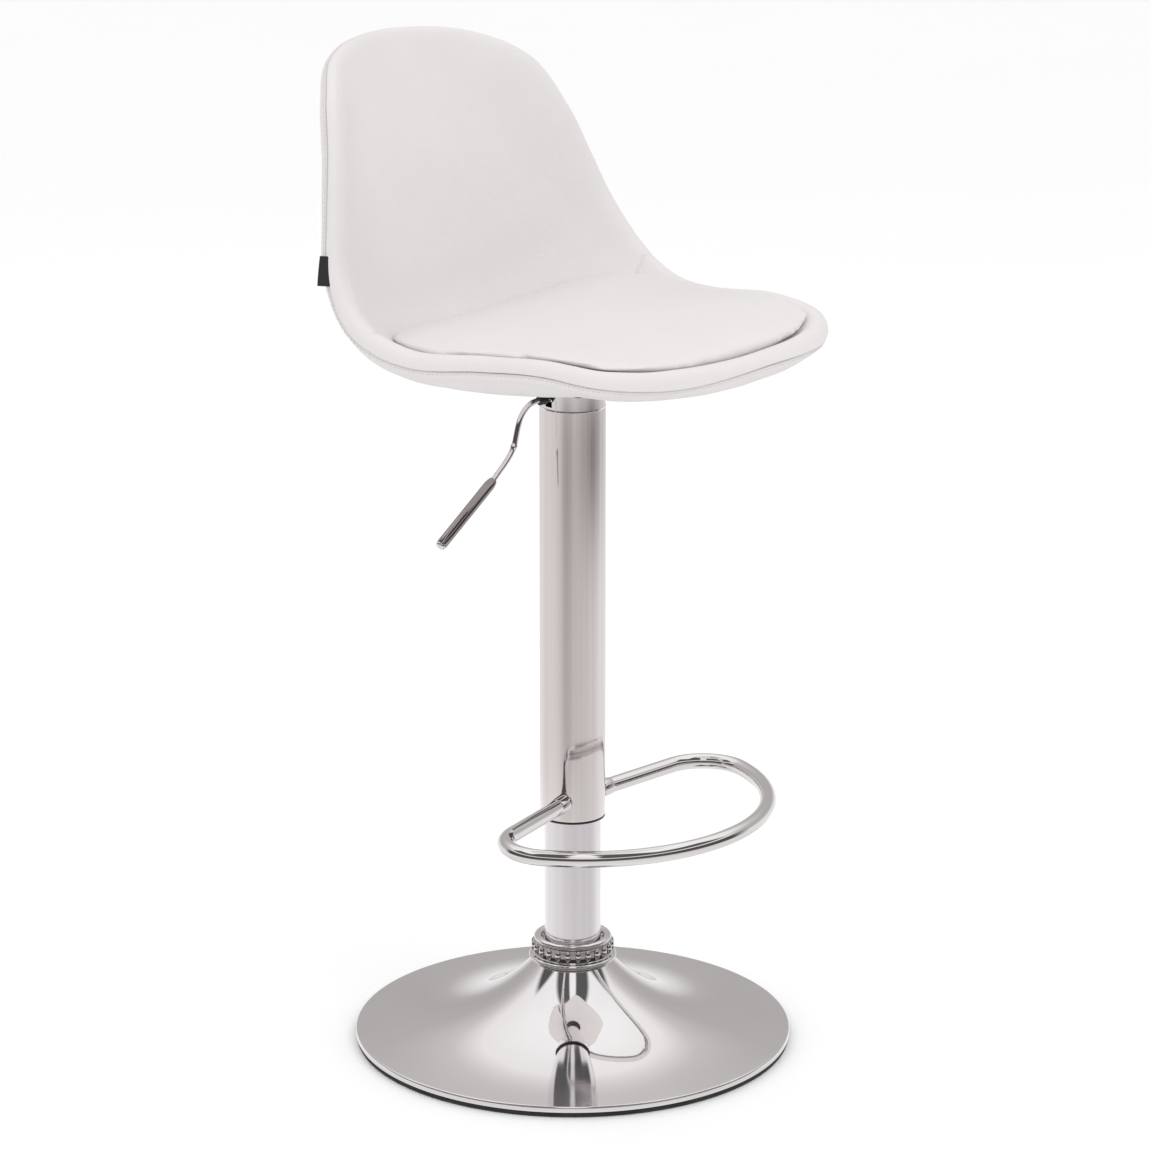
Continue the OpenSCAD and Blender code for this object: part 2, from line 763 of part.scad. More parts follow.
function cushion_under(e, a) = let (q = cushion_kt(e, a)) offset_point(q[0], q[1], cushion_lift);

function cushion_over(e, a) =
    let (p = cushion_under(e, a), rim_z = cushion_under(1, a).z + cushion_edge_h)
    [p.x, p.y, cushion_top + (rim_z - cushion_top) * pow(e, 2.5)];

module seat_cushion() {
    n = cushion_sides;
    m = cushion_rings;
    over = [for (i = [1 : m]) for (j = [0 : n - 1]) cushion_over(i / m, j * 360 / n)];
    under = [for (i = [1 : m]) for (j = [0 : n - 1]) cushion_under(i / m, j * 360 / n)];
    points = concat([cushion_over(0, 0)], over, [cushion_under(0, 0)], under);
    function id(side, i, j) = side * (1 + n * m) + (i == 0 ? 0 : 1 + (i - 1) * n + (j % n));
    faces = concat(
        [for (j = [0 : n - 1]) [id(0, 0, 0), id(0, 1, j + 1), id(0, 1, j)]],
        [for (j = [0 : n - 1]) [id(1, 0, 0), id(1, 1, j), id(1, 1, j + 1)]],
        [for (i = [1 : m - 1]) for (j = [0 : n - 1]) for (half = [0, 1])
            half == 0 ? [id(0, i, j), id(0, i + 1, j + 1), id(0, i + 1, j)]
                      : [id(0, i, j), id(0, i, j + 1), id(0, i + 1, j + 1)]],
        [for (i = [1 : m - 1]) for (j = [0 : n - 1]) for (half = [0, 1])
            half == 0 ? [id(1, i, j), id(1, i + 1, j), id(1, i + 1, j + 1)]
                      : [id(1, i, j), id(1, i + 1, j + 1), id(1, i, j + 1)]],
        [for (j = [0 : n - 1]) for (half = [0, 1])
            half == 0 ? [id(0, m, j), id(1, m, j + 1), id(1, m, j)]
                      : [id(0, m, j), id(0, m, j + 1), id(1, m, j + 1)]]);
    color(off_white) polyhedron(points, faces);
}

// Plain cloth tag sewn into the seam at the side of the back
module side_tag() {
    color(black_plastic)
    translate([-199.9, 102.2, 708.4])
    rotate([23, 0, 115])
    translate([-1.5, -0.6, 0])
    cube([13, 1.2, 26]);
}

// ---- one line per sub-part ---------------------------------------------------------------------

floor_ring();
base_shell();
counterweight();
column_flange();
column_bolts();
column_end_plug();
column_tube();
guide_bush();
base_collar();
thrust_washer_lower();
ball_cage();
thrust_balls();
thrust_washer_upper();
rod_clip_upper();
rod_clip_lower();
piston_rod();
piston();
piston_ring();
rod_buffer();
gas_cylinder();
cylinder_end_cap();
valve_head();
outer_tube();
tube_bush();
footrest_hoop();
footrest_sockets();
seat_hub();
seat_plate();
mount_block();
seat_screws();
t_nuts();
lever_pivot_pin();
seat_shell();
front_cover();
rear_cover();
edge_roll();
seat_cushion();
side_tag();
lever_arm();
lever_wire();
lever_grip();
grip_cap();
lever_bush();
release_button();
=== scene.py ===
import math

import bmesh
import bpy
import numpy as np
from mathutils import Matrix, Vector
from mathutils.bvhtree import BVHTree


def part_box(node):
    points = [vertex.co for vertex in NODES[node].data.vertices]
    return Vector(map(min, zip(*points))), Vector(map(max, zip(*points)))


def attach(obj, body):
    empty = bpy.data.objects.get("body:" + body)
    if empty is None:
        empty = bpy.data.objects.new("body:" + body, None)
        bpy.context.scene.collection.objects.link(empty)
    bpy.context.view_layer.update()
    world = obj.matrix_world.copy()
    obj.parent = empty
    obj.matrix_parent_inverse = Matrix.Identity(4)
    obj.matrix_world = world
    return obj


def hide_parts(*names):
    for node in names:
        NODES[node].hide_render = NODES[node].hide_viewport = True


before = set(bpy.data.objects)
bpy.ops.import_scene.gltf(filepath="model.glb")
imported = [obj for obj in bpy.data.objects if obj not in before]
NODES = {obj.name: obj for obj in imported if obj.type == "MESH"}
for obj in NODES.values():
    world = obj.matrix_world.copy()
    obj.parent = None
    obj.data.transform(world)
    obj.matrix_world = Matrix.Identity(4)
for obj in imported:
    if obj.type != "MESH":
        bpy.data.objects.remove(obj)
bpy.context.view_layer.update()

SCENE = bpy.context.scene


# ---- camera, floor, studio ----

CAMERA_PLACE = Vector((-3.0115, -2.2726, 1.5307))
CAMERA_AIM = Vector((0.7666, 0.5777, -0.2804))
CAMERA_LENS = 140.75
SENSOR = 36.0


def make_camera():
    data = bpy.data.cameras.new("camera")
    data.lens, data.sensor_width = CAMERA_LENS, SENSOR
    data.clip_start, data.clip_end = 0.05, 60.0
    camera = bpy.data.objects.new("camera", data)
    camera.location = CAMERA_PLACE
    camera.rotation_mode = "QUATERNION"
    camera.rotation_quaternion = CAMERA_AIM.to_track_quat("-Z", "Y")
    SCENE.collection.objects.link(camera)
    SCENE.camera = camera


class Graph:
    """Short calls for building one node tree."""

    def __init__(self, tree):
        self.tree = tree
        tree.nodes.clear()

    def feed(self, node, inputs):
        """Gives input sockets their links or their plain values."""
        for socket, value in inputs.items():
            if isinstance(value, bpy.types.NodeSocket):
                self.tree.links.new(value, node.inputs[socket])
            else:
                node.inputs[socket].default_value = value

    def node(self, kind, inputs=None, **settings):
        node = self.tree.nodes.new(kind)
        for key, value in settings.items():
            setattr(node, key, value)
        self.feed(node, inputs or {})
        return node

    def math(self, operation, *values):
        return self.node("ShaderNodeMath", dict(enumerate(values)), operation=operation).outputs[0]

    def ramp(self, factor, stops, interpolation="LINEAR"):
        node = self.node("ShaderNodeValToRGB", {"Fac": factor})
        node.color_ramp.interpolation = interpolation
        elements = node.color_ramp.elements
        while len(elements) < len(stops):
            elements.new(0.5)
        for element, (position, colour) in zip(elements, stops):
            element.position = position
            element.color = (*colour, 1.0)
        return node.outputs["Color"]

    def noise(self, vector, scale, detail=4.0, roughness=0.5):
        inputs = {"Vector": vector, "Scale": scale, "Detail": detail, "Roughness": roughness}
        return self.node("ShaderNodeTexNoise", inputs).outputs["Fac"]

    def position(self):
        return self.node("ShaderNodeTexCoord").outputs["Object"]

    def split(self, vector):
        return self.node("ShaderNodeSeparateXYZ", {0: vector}).outputs

    def stretched(self, vector, scale):
        return self.node("ShaderNodeMapping", {"Vector": vector, "Scale": scale}).outputs["Vector"]

    def remap(self, value, low, high):
        inputs = {"Value": value, "To Min": low, "To Max": high}
        return self.node("ShaderNodeMapRange", inputs).outputs["Result"]

    def mix(self, factor, a, b, blend="MIX"):
        inputs = {"Factor": factor, "A": a, "B": b}
        return self.node("ShaderNodeMix", inputs, data_type="RGBA", blend_type=blend).outputs["Result"]

    def bump(self, height, strength, distance, normal=None):
        inputs = {"Height": height, "Strength": strength, "Distance": distance}
        if normal is not None:
            inputs["Normal"] = normal
        return self.node("ShaderNodeBump", inputs).outputs["Normal"]

    def finish(self, output_kind, shader):
        self.node(output_kind, {"Surface": shader.outputs[0]})


def grey(value, warmth=0.0):
    return (value * (1 + warmth), value * (1 - 0.8 * warmth), value * (1 - warmth))


WORLD_STRENGTH = 1.075
SKY = [(0.0, 0.66), (0.35, 0.80), (0.75, 1.0), (1.0, 1.08)]     # (share of the way up, brightness)


def make_world():
    world = bpy.data.worlds.new("studio")
    SCENE.world = world
    world.use_nodes = True
    graph = Graph(world.node_tree)
    direction = graph.split(graph.node("ShaderNodeTexCoord").outputs["Generated"])
    sky = graph.ramp(direction["Z"], [(height, grey(value)) for height, value in SKY])
    background = graph.node("ShaderNodeBackground", {"Color": sky, "Strength": WORLD_STRENGTH})
    graph.finish("ShaderNodeOutputWorld", background)


DOME_RADIUS = 40.0
DOME_CENTRE = (0, 0, 0.45)
# What the polished metal sees round the studio when it looks a little downwards, as
# (turn from the camera's side in degrees, brightness, warmth), at three elevations
UPPER_PANELS = [(-180, 0.78, 0.01), (-92, 0.72, 0.02), (-54, 0.64, 0.02), (-22, 0.35, 0.03),
                (8, 0.47, 0.03), (38, 0.34, 0.04), (72, 0.15, 0.06), (100, 0.34, 0.03),
                (116, 0.52, 0.02), (180, 0.78, 0.01)]
MIDDLE_PANELS = [(-180, 0.82, 0.01), (-92, 0.76, 0.02), (-54, 0.69, 0.02), (-22, 0.50, 0.03),
                 (8, 0.59, 0.03), (38, 0.62, 0.02), (72, 0.68, 0.02), (116, 0.78, 0.01),
                 (180, 0.82, 0.01)]
LOWER_PANELS = [(-180, 1.05, 0.0), (-116, 0.92, 0.0), (-66, 0.82, 0.0), (-26, 0.77, 0.0),
                (8, 0.72, 0.0), (46, 0.68, 0.0), (88, 0.75, 0.0), (130, 0.92, 0.0), (180, 1.05, 0.0)]
# The rest of the studio, as (elevation in degrees, brightness, warmth)
NEAR_SIDE = [(-90, 0.85, 0.0), (-40, 0.74, 0.01), (-13.4, 0.74, 0.01), (-12.8, 0.92, 0.0),
             (-12, 0.85, 0.0), (-10.5, 0.09, 0.08), (19, 0.07, 0.08), (22, 0.80, 0.01),
             (29, 0.85, 0.0), (90, 1.0, 0.0)]
FAR_SIDE = [(-90, 0.85, 0.0), (-40, 0.74, 0.01), (-13.4, 0.74, 0.01), (-12.4, 0.92, 0.0),
            (0, 0.70, 0.01), (8, 0.47, 0.02), (14, 0.44, 0.02), (24, 0.47, 0.02), (33, 0.60, 0.02),
            (42, 0.88, 0.01), (60, 0.96, 0.0), (90, 1.0, 0.0)]
# Dark screens over the camera's side, as (elevation or turn in degrees, how much they hide)
LOW_SCREEN_HEIGHT = [(28, 0), (30, 1), (50, 1), (53, 0)]
LOW_SCREEN_TURN = [(-105, 0), (-97, 1), (-12, 1), (-8, 0.1), (8, 0.1), (12, 1), (97, 1), (105, 0)]
HIGH_SCREEN_HEIGHT = [(49, 0), (51, 1), (76, 1), (86, 0)]
HIGH_SCREEN_TURN = [(-62, 0), (-52, 1), (-16, 1), (-10, 0), (10, 0), (16, 1), (52, 1), (62, 0)]
SCREEN_TONE = 0.11
# Where one set gives way to another, as (turn or elevation in degrees, share of the set named first)
NEAR_OVER_FAR = [(-113, 0), (-97, 1), (97, 1), (113, 0)]
MIDDLE_OVER_UPPER = [(-16.4, 1), (-14.6, 0)]
LOWER_OVER_MIDDLE = [(-19.6, 1), (-19.2, 0)]
PANELS_OVER_REST = [(-26, 0), (-22, 1), (-14.0, 1), (-13.6, 0)]


def studio_angles(graph):
    """Turn, with the camera's side in the middle, and elevation on the dome, both from 0 to 1."""
    place = graph.split(graph.position())
    away = math.atan2(CAMERA_AIM.y, CAMERA_AIM.x)
    forward = graph.math("ADD", graph.math("MULTIPLY", place["X"], -math.cos(away)),
                         graph.math("MULTIPLY", place["Y"], -math.sin(away)))
    sideways = graph.math("ADD", graph.math("MULTIPLY", place["X"], math.sin(away)),
                          graph.math("MULTIPLY", place["Y"], -math.cos(away)))
    turn = graph.math("MULTIPLY", graph.math("ARCTAN2", sideways, forward), 0.5 / math.pi)
    height = graph.math("ARCSINE", graph.math("MULTIPLY", place["Z"], 1 / DOME_RADIUS))
    height = graph.math("MULTIPLY", height, 1 / math.pi)
    return graph.math("ADD", turn, 0.5), graph.math("ADD", height, 0.5)


def make_dome():
    """Large shell of soft panels that only the polished metal sees."""
    points, faces = ball(np.zeros(3), *np.eye(3) * DOME_RADIUS, rows=48, sides=96)
    dome = mesh_object("studio_dome", points, faces)
    dome.location = DOME_CENTRE
    material = bpy.data.materials.new("studio_panels")
    material.use_nodes = True
    graph = Graph(material.node_tree)
    turn, height = studio_angles(graph)

    def by_turn(stops, interpolation="LINEAR"):
        return graph.ramp(turn, [(a / 360 + 0.5, grey(*tone)) for a, *tone in stops], interpolation)

    def by_height(stops):
        return graph.ramp(height, [(a / 180 + 0.5, grey(*tone)) for a, *tone in stops])

    rest = graph.mix(by_turn(NEAR_OVER_FAR), by_height(FAR_SIDE), by_height(NEAR_SIDE))
    for heights, turns in ((LOW_SCREEN_HEIGHT, LOW_SCREEN_TURN), (HIGH_SCREEN_HEIGHT, HIGH_SCREEN_TURN)):
        hidden = graph.math("MULTIPLY", by_height(heights), by_turn(turns))
        seen = graph.math("SUBTRACT", 1.0, graph.math("MULTIPLY", hidden, 1 - SCREEN_TONE))
        rest = graph.mix(1.0, rest, seen, "MULTIPLY")
    upper, middle, lower = (by_turn(stops, "EASE") for stops in (UPPER_PANELS, MIDDLE_PANELS, LOWER_PANELS))
    panels = graph.mix(by_height(MIDDLE_OVER_UPPER), upper, middle)
    panels = graph.mix(by_height(LOWER_OVER_MIDDLE), panels, lower)
    colour = graph.mix(by_height(PANELS_OVER_REST), rest, panels)
    graph.finish("ShaderNodeOutputMaterial", graph.node("ShaderNodeEmission", {"Color": colour}))
    dome.data.materials.append(material)
    dome.visible_camera = False
    dome.visible_diffuse = False
    dome.visible_shadow = False
    dome.visible_transmission = False


def make_softbox(name, place, aim, size, watts):
    data = bpy.data.lights.new(name, "AREA")
    data.shape, data.size, data.energy = "DISK", size, watts
    light = bpy.data.objects.new(name, data)
    light.location = place
    light.rotation_mode = "QUATERNION"
    light.rotation_quaternion = (Vector(aim) - Vector(place)).to_track_quat("-Z", "Y")
    light.visible_glossy = False
    SCENE.collection.objects.link(light)


def make_lights():
    seat = (0, 0, 0.68)
    make_softbox("key_softbox", place=(-0.35, -2.3, 2.3), aim=seat, size=1.5, watts=9)
    make_softbox("fill_softbox", place=(-2.4, 0.9, 1.7), aim=seat, size=1.6, watts=3)
    make_softbox("back_softbox", place=(1.6, 1.9, 2.2), aim=seat, size=1.4, watts=4)


FLOOR_RADIUS = 16.0
FLOOR_SIDES = 128


def make_floor():
    angles = around(FLOOR_SIDES)
    points = np.stack([np.cos(angles), np.sin(angles), 0 * angles], -1) * FLOOR_RADIUS
    floor = mesh_object("floor", points, [tuple(range(FLOOR_SIDES))])
    material, graph, shader = new_material("pale_floor", Roughness=0.75)
    tint = graph.ramp(graph.noise(graph.position(), 1.5), [(0.0, grey(0.965)), (1.0, grey(0.985))])
    graph.feed(shader, {"Base Color": tint})
    floor.data.materials.append(material)
    floor.visible_glossy = False


# ---- materials ----


def new_material(name, **uniform):
    """Material with one Principled shader; uniform numbers go on the shader's own sockets."""
    material = bpy.data.materials.new(name)
    material.use_nodes = True
    graph = Graph(material.node_tree)
    shader = graph.node("ShaderNodeBsdfPrincipled", uniform)
    graph.finish("ShaderNodeOutputMaterial", shader)
    return material, graph, shader


def polished(name, low, high, rough_low, rough_high, grain=(1, 1, 1), bump=0.0):
    """Plated or ground metal: faint colour drift, roughness in soft patches, optional drawn lines."""
    material, graph, shader = new_material(name, Metallic=1.0)
    place = graph.position()
    drift = graph.noise(graph.stretched(place, [0.25 * g for g in grain]), scale=30.0)
    lines = graph.noise(graph.stretched(place, grain), scale=60.0, detail=5.0)
    graph.feed(shader, {"Base Color": graph.ramp(drift, [(0.3, low), (0.7, high)]),
                        "Roughness": graph.remap(lines, rough_low, rough_high)})
    if bump:
        graph.feed(shader, {"Normal": graph.bump(lines, bump, distance=0.0002)})
    return material


def moulded(name, low, high, rough_low, rough_high, scale, bump, metallic=0.0):
    """Plastic, rubber, paint or casting: fine pebbled surface with colour and gloss in patches."""
    material, graph, shader = new_material(name, Metallic=metallic)
    place = graph.position()
    patches = graph.noise(place, scale=35.0)
    pebbles = graph.noise(place, scale, detail=2.0)
    graph.feed(shader, {"Base Color": graph.ramp(patches, [(0.3, low), (0.7, high)]),
                        "Roughness": graph.remap(patches, rough_low, rough_high),
                        "Normal": graph.bump(pebbles, bump, distance=0.0003)})
    return material


def faux_leather(name):
    """Off-white coated fabric: pebbled grain with fine creases, faint yellowing and gloss patches."""
    material, graph, shader = new_material(name, **{"Sheen Weight": 0.08, "Sheen Roughness": 0.5})
    place = graph.position()
    drift = graph.noise(place, scale=5.0, detail=3.0)
    tint = graph.ramp(drift, [(0.32, (0.765, 0.733, 0.727)), (0.68, (0.792, 0.763, 0.759))])
    cells = graph.node("ShaderNodeTexVoronoi", {"Vector": place, "Scale": 1150.0}, feature="SMOOTH_F1")
    depth = cells.outputs["Distance"]
    pores = graph.ramp(depth, [(0.0, grey(1.0)), (0.55, grey(1.0)), (0.95, grey(0.93))])
    gloss = graph.noise(place, scale=26.0)
    slack = graph.noise(place, scale=34.0, detail=2.0)
    creases = graph.noise(place, scale=420.0, roughness=0.6)
    normal = graph.bump(slack, strength=0.10, distance=0.004)
    normal = graph.bump(creases, 0.16, 0.0006, normal)
    normal = graph.bump(graph.math("MULTIPLY", depth, -1.0), 0.28, 0.0004, normal)
    graph.feed(shader, {"Base Color": graph.mix(1.0, tint, pores, "MULTIPLY"),
                        "Roughness": graph.remap(gloss, 0.40, 0.56), "Normal": normal})
    return material


def woven(name, low, high, threads):
    """Woven tape or thread: two crossed waves, as fine as its threads."""
    material, graph, shader = new_material(name, **{"Sheen Weight": 0.3})
    place = graph.position()
    waves = []
    for axis in ("X", "Z"):
        inputs = {"Vector": place, "Scale": threads, "Distortion": 0.4}
        waves.append(graph.node("ShaderNodeTexWave", inputs, bands_direction=axis).outputs["Fac"])
    weave = graph.math("MULTIPLY", *waves)
    graph.feed(shader, {"Base Color": graph.ramp(weave, [(0.0, low), (1.0, high)]),
                        "Roughness": graph.remap(graph.noise(place, scale=90.0), 0.7, 0.9),
                        "Normal": graph.bump(weave, strength=0.5, distance=0.0003)})
    return material


def plywood(name):
    """Beech veneer: long grain along X and short darker pores."""
    material, graph, shader = new_material(name)
    place = graph.stretched(graph.position(), (1.0, 9.0, 9.0))
    grain = graph.noise(place, scale=30.0, detail=6.0, roughness=0.6)
    colour = graph.ramp(grain, [(0.3, (0.50, 0.34, 0.20)), (0.7, (0.72, 0.54, 0.35))])
    graph.feed(shader, {"Base Color": colour, "Roughness": graph.remap(grain, 0.5, 0.7),
                        "Normal": graph.bump(grain, strength=0.2, distance=0.0005)})
    return material


# Maker of each material, its darker and lighter colour, least and most roughness, and then
# for metals the stretch and depth of their lines, for mouldings the scale and depth of their pebbles
MATERIALS = {
    "chrome": (polished, (0.87, 0.85, 0.85), (0.92, 0.90, 0.90), 0.015, 0.050),
    "tube_chrome": (polished, (0.79, 0.745, 0.735), (0.92, 0.88, 0.87), 0.045, 0.10, (14, 14, 0.15), 0.02),
    # Darker plated metal: the lever's grip in its own colour, and painted shade on the ring behind the
    # collar's beads
    "dark_chrome_and_painted_shade": (polished, (0.36, 0.33, 0.325), (0.50, 0.465, 0.455), 0.04, 0.10),
    "column_steel": (polished, (0.80, 0.77, 0.795), (0.92, 0.89, 0.915), 0.11, 0.19, (12, 12, 0.12), 0.06),
    "bright_steel": (polished, (0.62, 0.63, 0.65), (0.74, 0.75, 0.77), 0.18, 0.34, (1, 1, 12), 0.08),
    "dark_steel": (moulded, (0.055, 0.055, 0.06), (0.10, 0.10, 0.11), 0.35, 0.55, 900, 0.15, 0.5),
    "cast_iron": (moulded, (0.10, 0.10, 0.105), (0.19, 0.19, 0.20), 0.6, 0.85, 420, 0.7, 0.6),
    "brass": (polished, (0.70, 0.52, 0.24), (0.80, 0.62, 0.32), 0.15, 0.3, (1, 1, 10), 0.05),
    "black_rubber": (moulded, (0.012, 0.012, 0.013), (0.03, 0.03, 0.031), 0.6, 0.8, 700, 0.4),
    "black_plastic": (moulded, (0.012, 0.012, 0.014), (0.03, 0.03, 0.033), 0.3, 0.5, 800, 0.2),
    "black_fabric": (woven, (0.008, 0.008, 0.009), (0.045, 0.045, 0.05), 420.0),
    "thread": (woven, (0.62, 0.59, 0.58), (0.76, 0.73, 0.72), 900.0),
    "plywood": (plywood,),
    "faux_leather": (faux_leather,),
}
MATERIALS = {name: make(name, *looks) for name, (make, *looks) in MATERIALS.items()}

# Material of each CAD node that stays on show or stays inside
NODE_MATERIALS = {
    "chrome": ["seat_hub", "lever_arm", "piston_rod"],
    "bright_steel": ["thrust_washer_lower", "thrust_washer_upper", "thrust_balls", "cylinder_end_cap",
                     "valve_head", "t_nuts", "lever_pivot_pin", "release_button"],
    "dark_steel": ["column_flange", "column_bolts", "column_end_plug", "rod_clip_upper",
                   "rod_clip_lower", "gas_cylinder", "seat_plate", "seat_screws"],
    "cast_iron": ["counterweight"],
    "brass": ["ball_cage", "piston"],
    "black_rubber": ["rod_buffer"],
    "black_plastic": ["guide_bush", "piston_ring"],
    "plywood": ["mount_block", "seat_shell"],
}


def dress_nodes():
    for material, names in NODE_MATERIALS.items():
        for name in names:
            NODES[name].data.materials.clear()
            NODES[name].data.materials.append(MATERIALS[material])


# ---- mesh helpers ----


def around(count):
    """Even angles round a full turn."""
    return np.linspace(0, 2 * math.pi, count, endpoint=False)


def unit(vectors):
    return vectors / np.linalg.norm(vectors, axis=-1, keepdims=True)


def mesh_object(name, points, faces):
    mesh = bpy.data.meshes.new(name)
    mesh.from_pydata([tuple(p) for p in np.asarray(points, float)], [], [tuple(f) for f in faces])
    mesh.validate()
    mesh.update()
    piece = bpy.data.objects.new(name, mesh)
    SCENE.collection.objects.link(piece)
    return piece


def tube_faces(rings, sides, closed=False, first=0):
    """Quads of a net of rings, each ring joined to the next; closed joins the last to the first."""
    spans = rings if closed else rings - 1
    faces = []
    for i in range(spans):
        for j in range(sides):
            a, b = i * sides + j, i * sides + (j + 1) % sides
            c, d = ((i + 1) % rings) * sides + (j + 1) % sides, ((i + 1) % rings) * sides + j
            faces.append((first + a, first + b, first + c, first + d))
    return faces


def add_net(points, faces, new_points, new_faces):
    """Adds one closed net to the lists of a piece that is made of many."""
    faces += [tuple(len(points) + k for k in face) for face in new_faces]
    points += list(new_points)


def finish_piece(piece, material, body, replaced=(), sharp=38):
    """Smooth shading with crisp corners over so many degrees, material, body and CAD nodes stood for."""
    mesh = piece.data
    net = bmesh.new()
    net.from_mesh(mesh)
    bmesh.ops.recalc_face_normals(net, faces=net.faces)
    net.to_mesh(mesh)
    net.free()
    mesh.shade_smooth()
    if sharp:
        mesh.set_sharp_from_angle(angle=math.radians(sharp))
    mesh.materials.clear()
    mesh.materials.append(MATERIALS[material])
    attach(piece, body)
    if replaced:
        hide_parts(*replaced)


def rounded(outline, radius, steps=5):
    """Closed outline with its corners rounded by arcs of about that radius."""
    outline = [np.array(p, float) for p in outline]
    most = 0.45          # the largest share of a side that one corner may take
    made = []
    for i, p in enumerate(outline):
        before, after = outline[i - 1] - p, outline[(i + 1) % len(outline)] - p
        cut = min(radius, most * np.linalg.norm(before), most * np.linalg.norm(after))
        a = p + unit(before) * cut
        b = p + unit(after) * cut
        for s in np.linspace(0, 1, steps):
            made.append((1 - s) ** 2 * a + 2 * s * (1 - s) * p + s ** 2 * b)
    return made


def lathe(name, outline, sides=256):
    """Solid turned about the Z axis from a closed outline of (radius, height)."""
    a = around(sides)
    rings = [np.stack([r * np.cos(a), r * np.sin(a), np.full(sides, z)], -1) for r, z in outline]
    return mesh_object(name, np.concatenate(rings), tube_faces(len(outline), sides, closed=True))


def sweep(name, path, radii, sides, up):
    """Round bar along a path, with a radius at each point and closed flat ends."""
    path, radii = np.asarray(path, float), np.broadcast_to(radii, len(path))
    along = unit(np.gradient(path, axis=0))
    side = unit(np.cross(along, up))
    lift = np.cross(side, along)
    cos, sin = np.cos(around(sides))[:, None], np.sin(around(sides))[:, None]
    rings = [p + r * (cos * s + sin * u) for p, r, s, u in zip(path, radii, side, lift)]
    faces = tube_faces(len(path), sides)
    last = (len(path) - 1) * sides
    faces += [tuple(range(sides - 1, -1, -1)), tuple(range(last, last + sides))]
    return mesh_object(name, np.concatenate(rings), faces)


def smooth_path(points, per_span=8):
    """Catmull-Rom curve through points, with per_span steps between two of them."""
    p = np.asarray(points, float)
    p = np.concatenate([[2 * p[0] - p[1]], p, [2 * p[-1] - p[-2]]])
    made = []
    for a, b, c, d in zip(p, p[1:], p[2:], p[3:]):
        for u in np.arange(per_span) / per_span:
            made.append(catmull(a, b, c, d, u))
    return np.array(made + [p[-2]])


def catmull(a, b, c, d, u):
    return 0.5 * (2 * b + (c - a) * u + (2 * a - 5 * b + 4 * c - d) * u ** 2
                  + (3 * b - a - 3 * c + d) * u ** 3)


# ---- base ----

SHEET = 0.002            # thickness of the base's spun sheet
NECK_RADIUS = 0.035
NECK_HEIGHT = 0.004      # short upright neck inside the collar
OUTER_SLOPE = 0.09
FLARE_POWER = 3.4
LIP_HEIGHT = 0.0055
LIP_ROUND = 0.0016
DISH_STEPS = 90
DISH_SPREAD = 1.4        # over 1 puts the rings of the dish closer together near its neck
RING_BORE = 0.181
RING_EDGE = 0.001        # broken lower edge of the rubber ring
RING_GAP = 0.0001        # between the ring and the inside of the lip


def make_base():
    low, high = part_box("base_shell")
    rim, lip_bottom = high.x, low.z
    lip_top, neck_z = lip_bottom + LIP_HEIGHT, high.z - NECK_HEIGHT
    rise = neck_z - lip_top - OUTER_SLOPE * (rim - NECK_RADIUS)

    def dish(r):
        return (lip_top + OUTER_SLOPE * (rim - r)
                + rise * ((rim - r) / (rim - NECK_RADIUS)) ** FLARE_POWER)

    shares = (np.arange(DISH_STEPS + 1) / DISH_STEPS) ** DISH_SPREAD
    radii = NECK_RADIUS + (rim - LIP_ROUND - NECK_RADIUS) * shares
    top = [(r, dish(r)) for r in radii]
    h = 1e-5
    slope = [math.atan2(dish(r - h) - dish(r + h), 2 * h) for r in radii]
    under = [(r - SHEET * math.sin(a), dish(r) - SHEET * math.cos(a))
             for r, a in zip(radii[:-3], slope[:-3])][::-1]
    corner = (rim - LIP_ROUND, dish(rim - LIP_ROUND) - LIP_ROUND)
    lip = [(corner[0] + LIP_ROUND * math.sin(a), corner[1] + LIP_ROUND * math.cos(a))
           for a in np.linspace(0.2, math.pi / 2, 7)]
    foot = [(rim, lip_bottom + 0.0005), (rim - 0.0005, lip_bottom), (rim - SHEET, lip_bottom),
            (rim - SHEET, lip_top - SHEET)]
    neck = [(NECK_RADIUS - SHEET, high.z), (NECK_RADIUS, high.z)]
    shell = lathe("base_dish", neck + top + lip + foot + under, 320)
    finish_piece(shell, "chrome", "base", ["base_shell"], sharp=50)

    ring_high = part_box("floor_ring")[1]
    outer, inner = ring_high.x, rim - SHEET - RING_GAP
    outline = [(RING_BORE, 0), (outer - RING_EDGE, 0), (outer, RING_EDGE), (outer, lip_bottom),
               (inner, lip_bottom), (inner, ring_high.z), (RING_BORE, ring_high.z)]
    finish_piece(lathe("rubber_floor_ring", rounded(outline, 0.0006, 3)), "black_rubber", "base",
                 ["floor_ring"])


# Outlines of the collar and of the dark ring of painted shade behind its beads, as (radius, height above the
# collar's foot)
COLLAR_OUTLINE = [(0.0252, 0.0050), (0.0353, 0.0050), (0.0353, 0.0), (0.0378, 0.0002), (0.0390, 0.0014),
                  (0.0391, 0.0030), (0.0380, 0.0044), (0.0352, 0.0050), (0.0345, 0.0060),
                  (0.0344, 0.0120), (0.0345, 0.0176), (0.0342, 0.0184), (0.0345, 0.0194),
                  (0.0342, 0.0208), (0.0326, 0.0219), (0.0304, 0.0220), (0.0286, 0.0212),
                  (0.0276, 0.0188), (0.0268, 0.0150), (0.0252, 0.0140)]
PAINTED_SHADE_OUTLINE = [(0.0340, 0.0050), (0.03475, 0.0058), (0.03475, 0.0178), (0.0340, 0.0184)]
BEAD_COUNT = 24
BEAD_CIRCLE = 0.0350     # radius of the circle the beads sit on
BEAD_HEIGHT = 0.0118
BEAD = (0.0024, 0.0026, 0.0053)


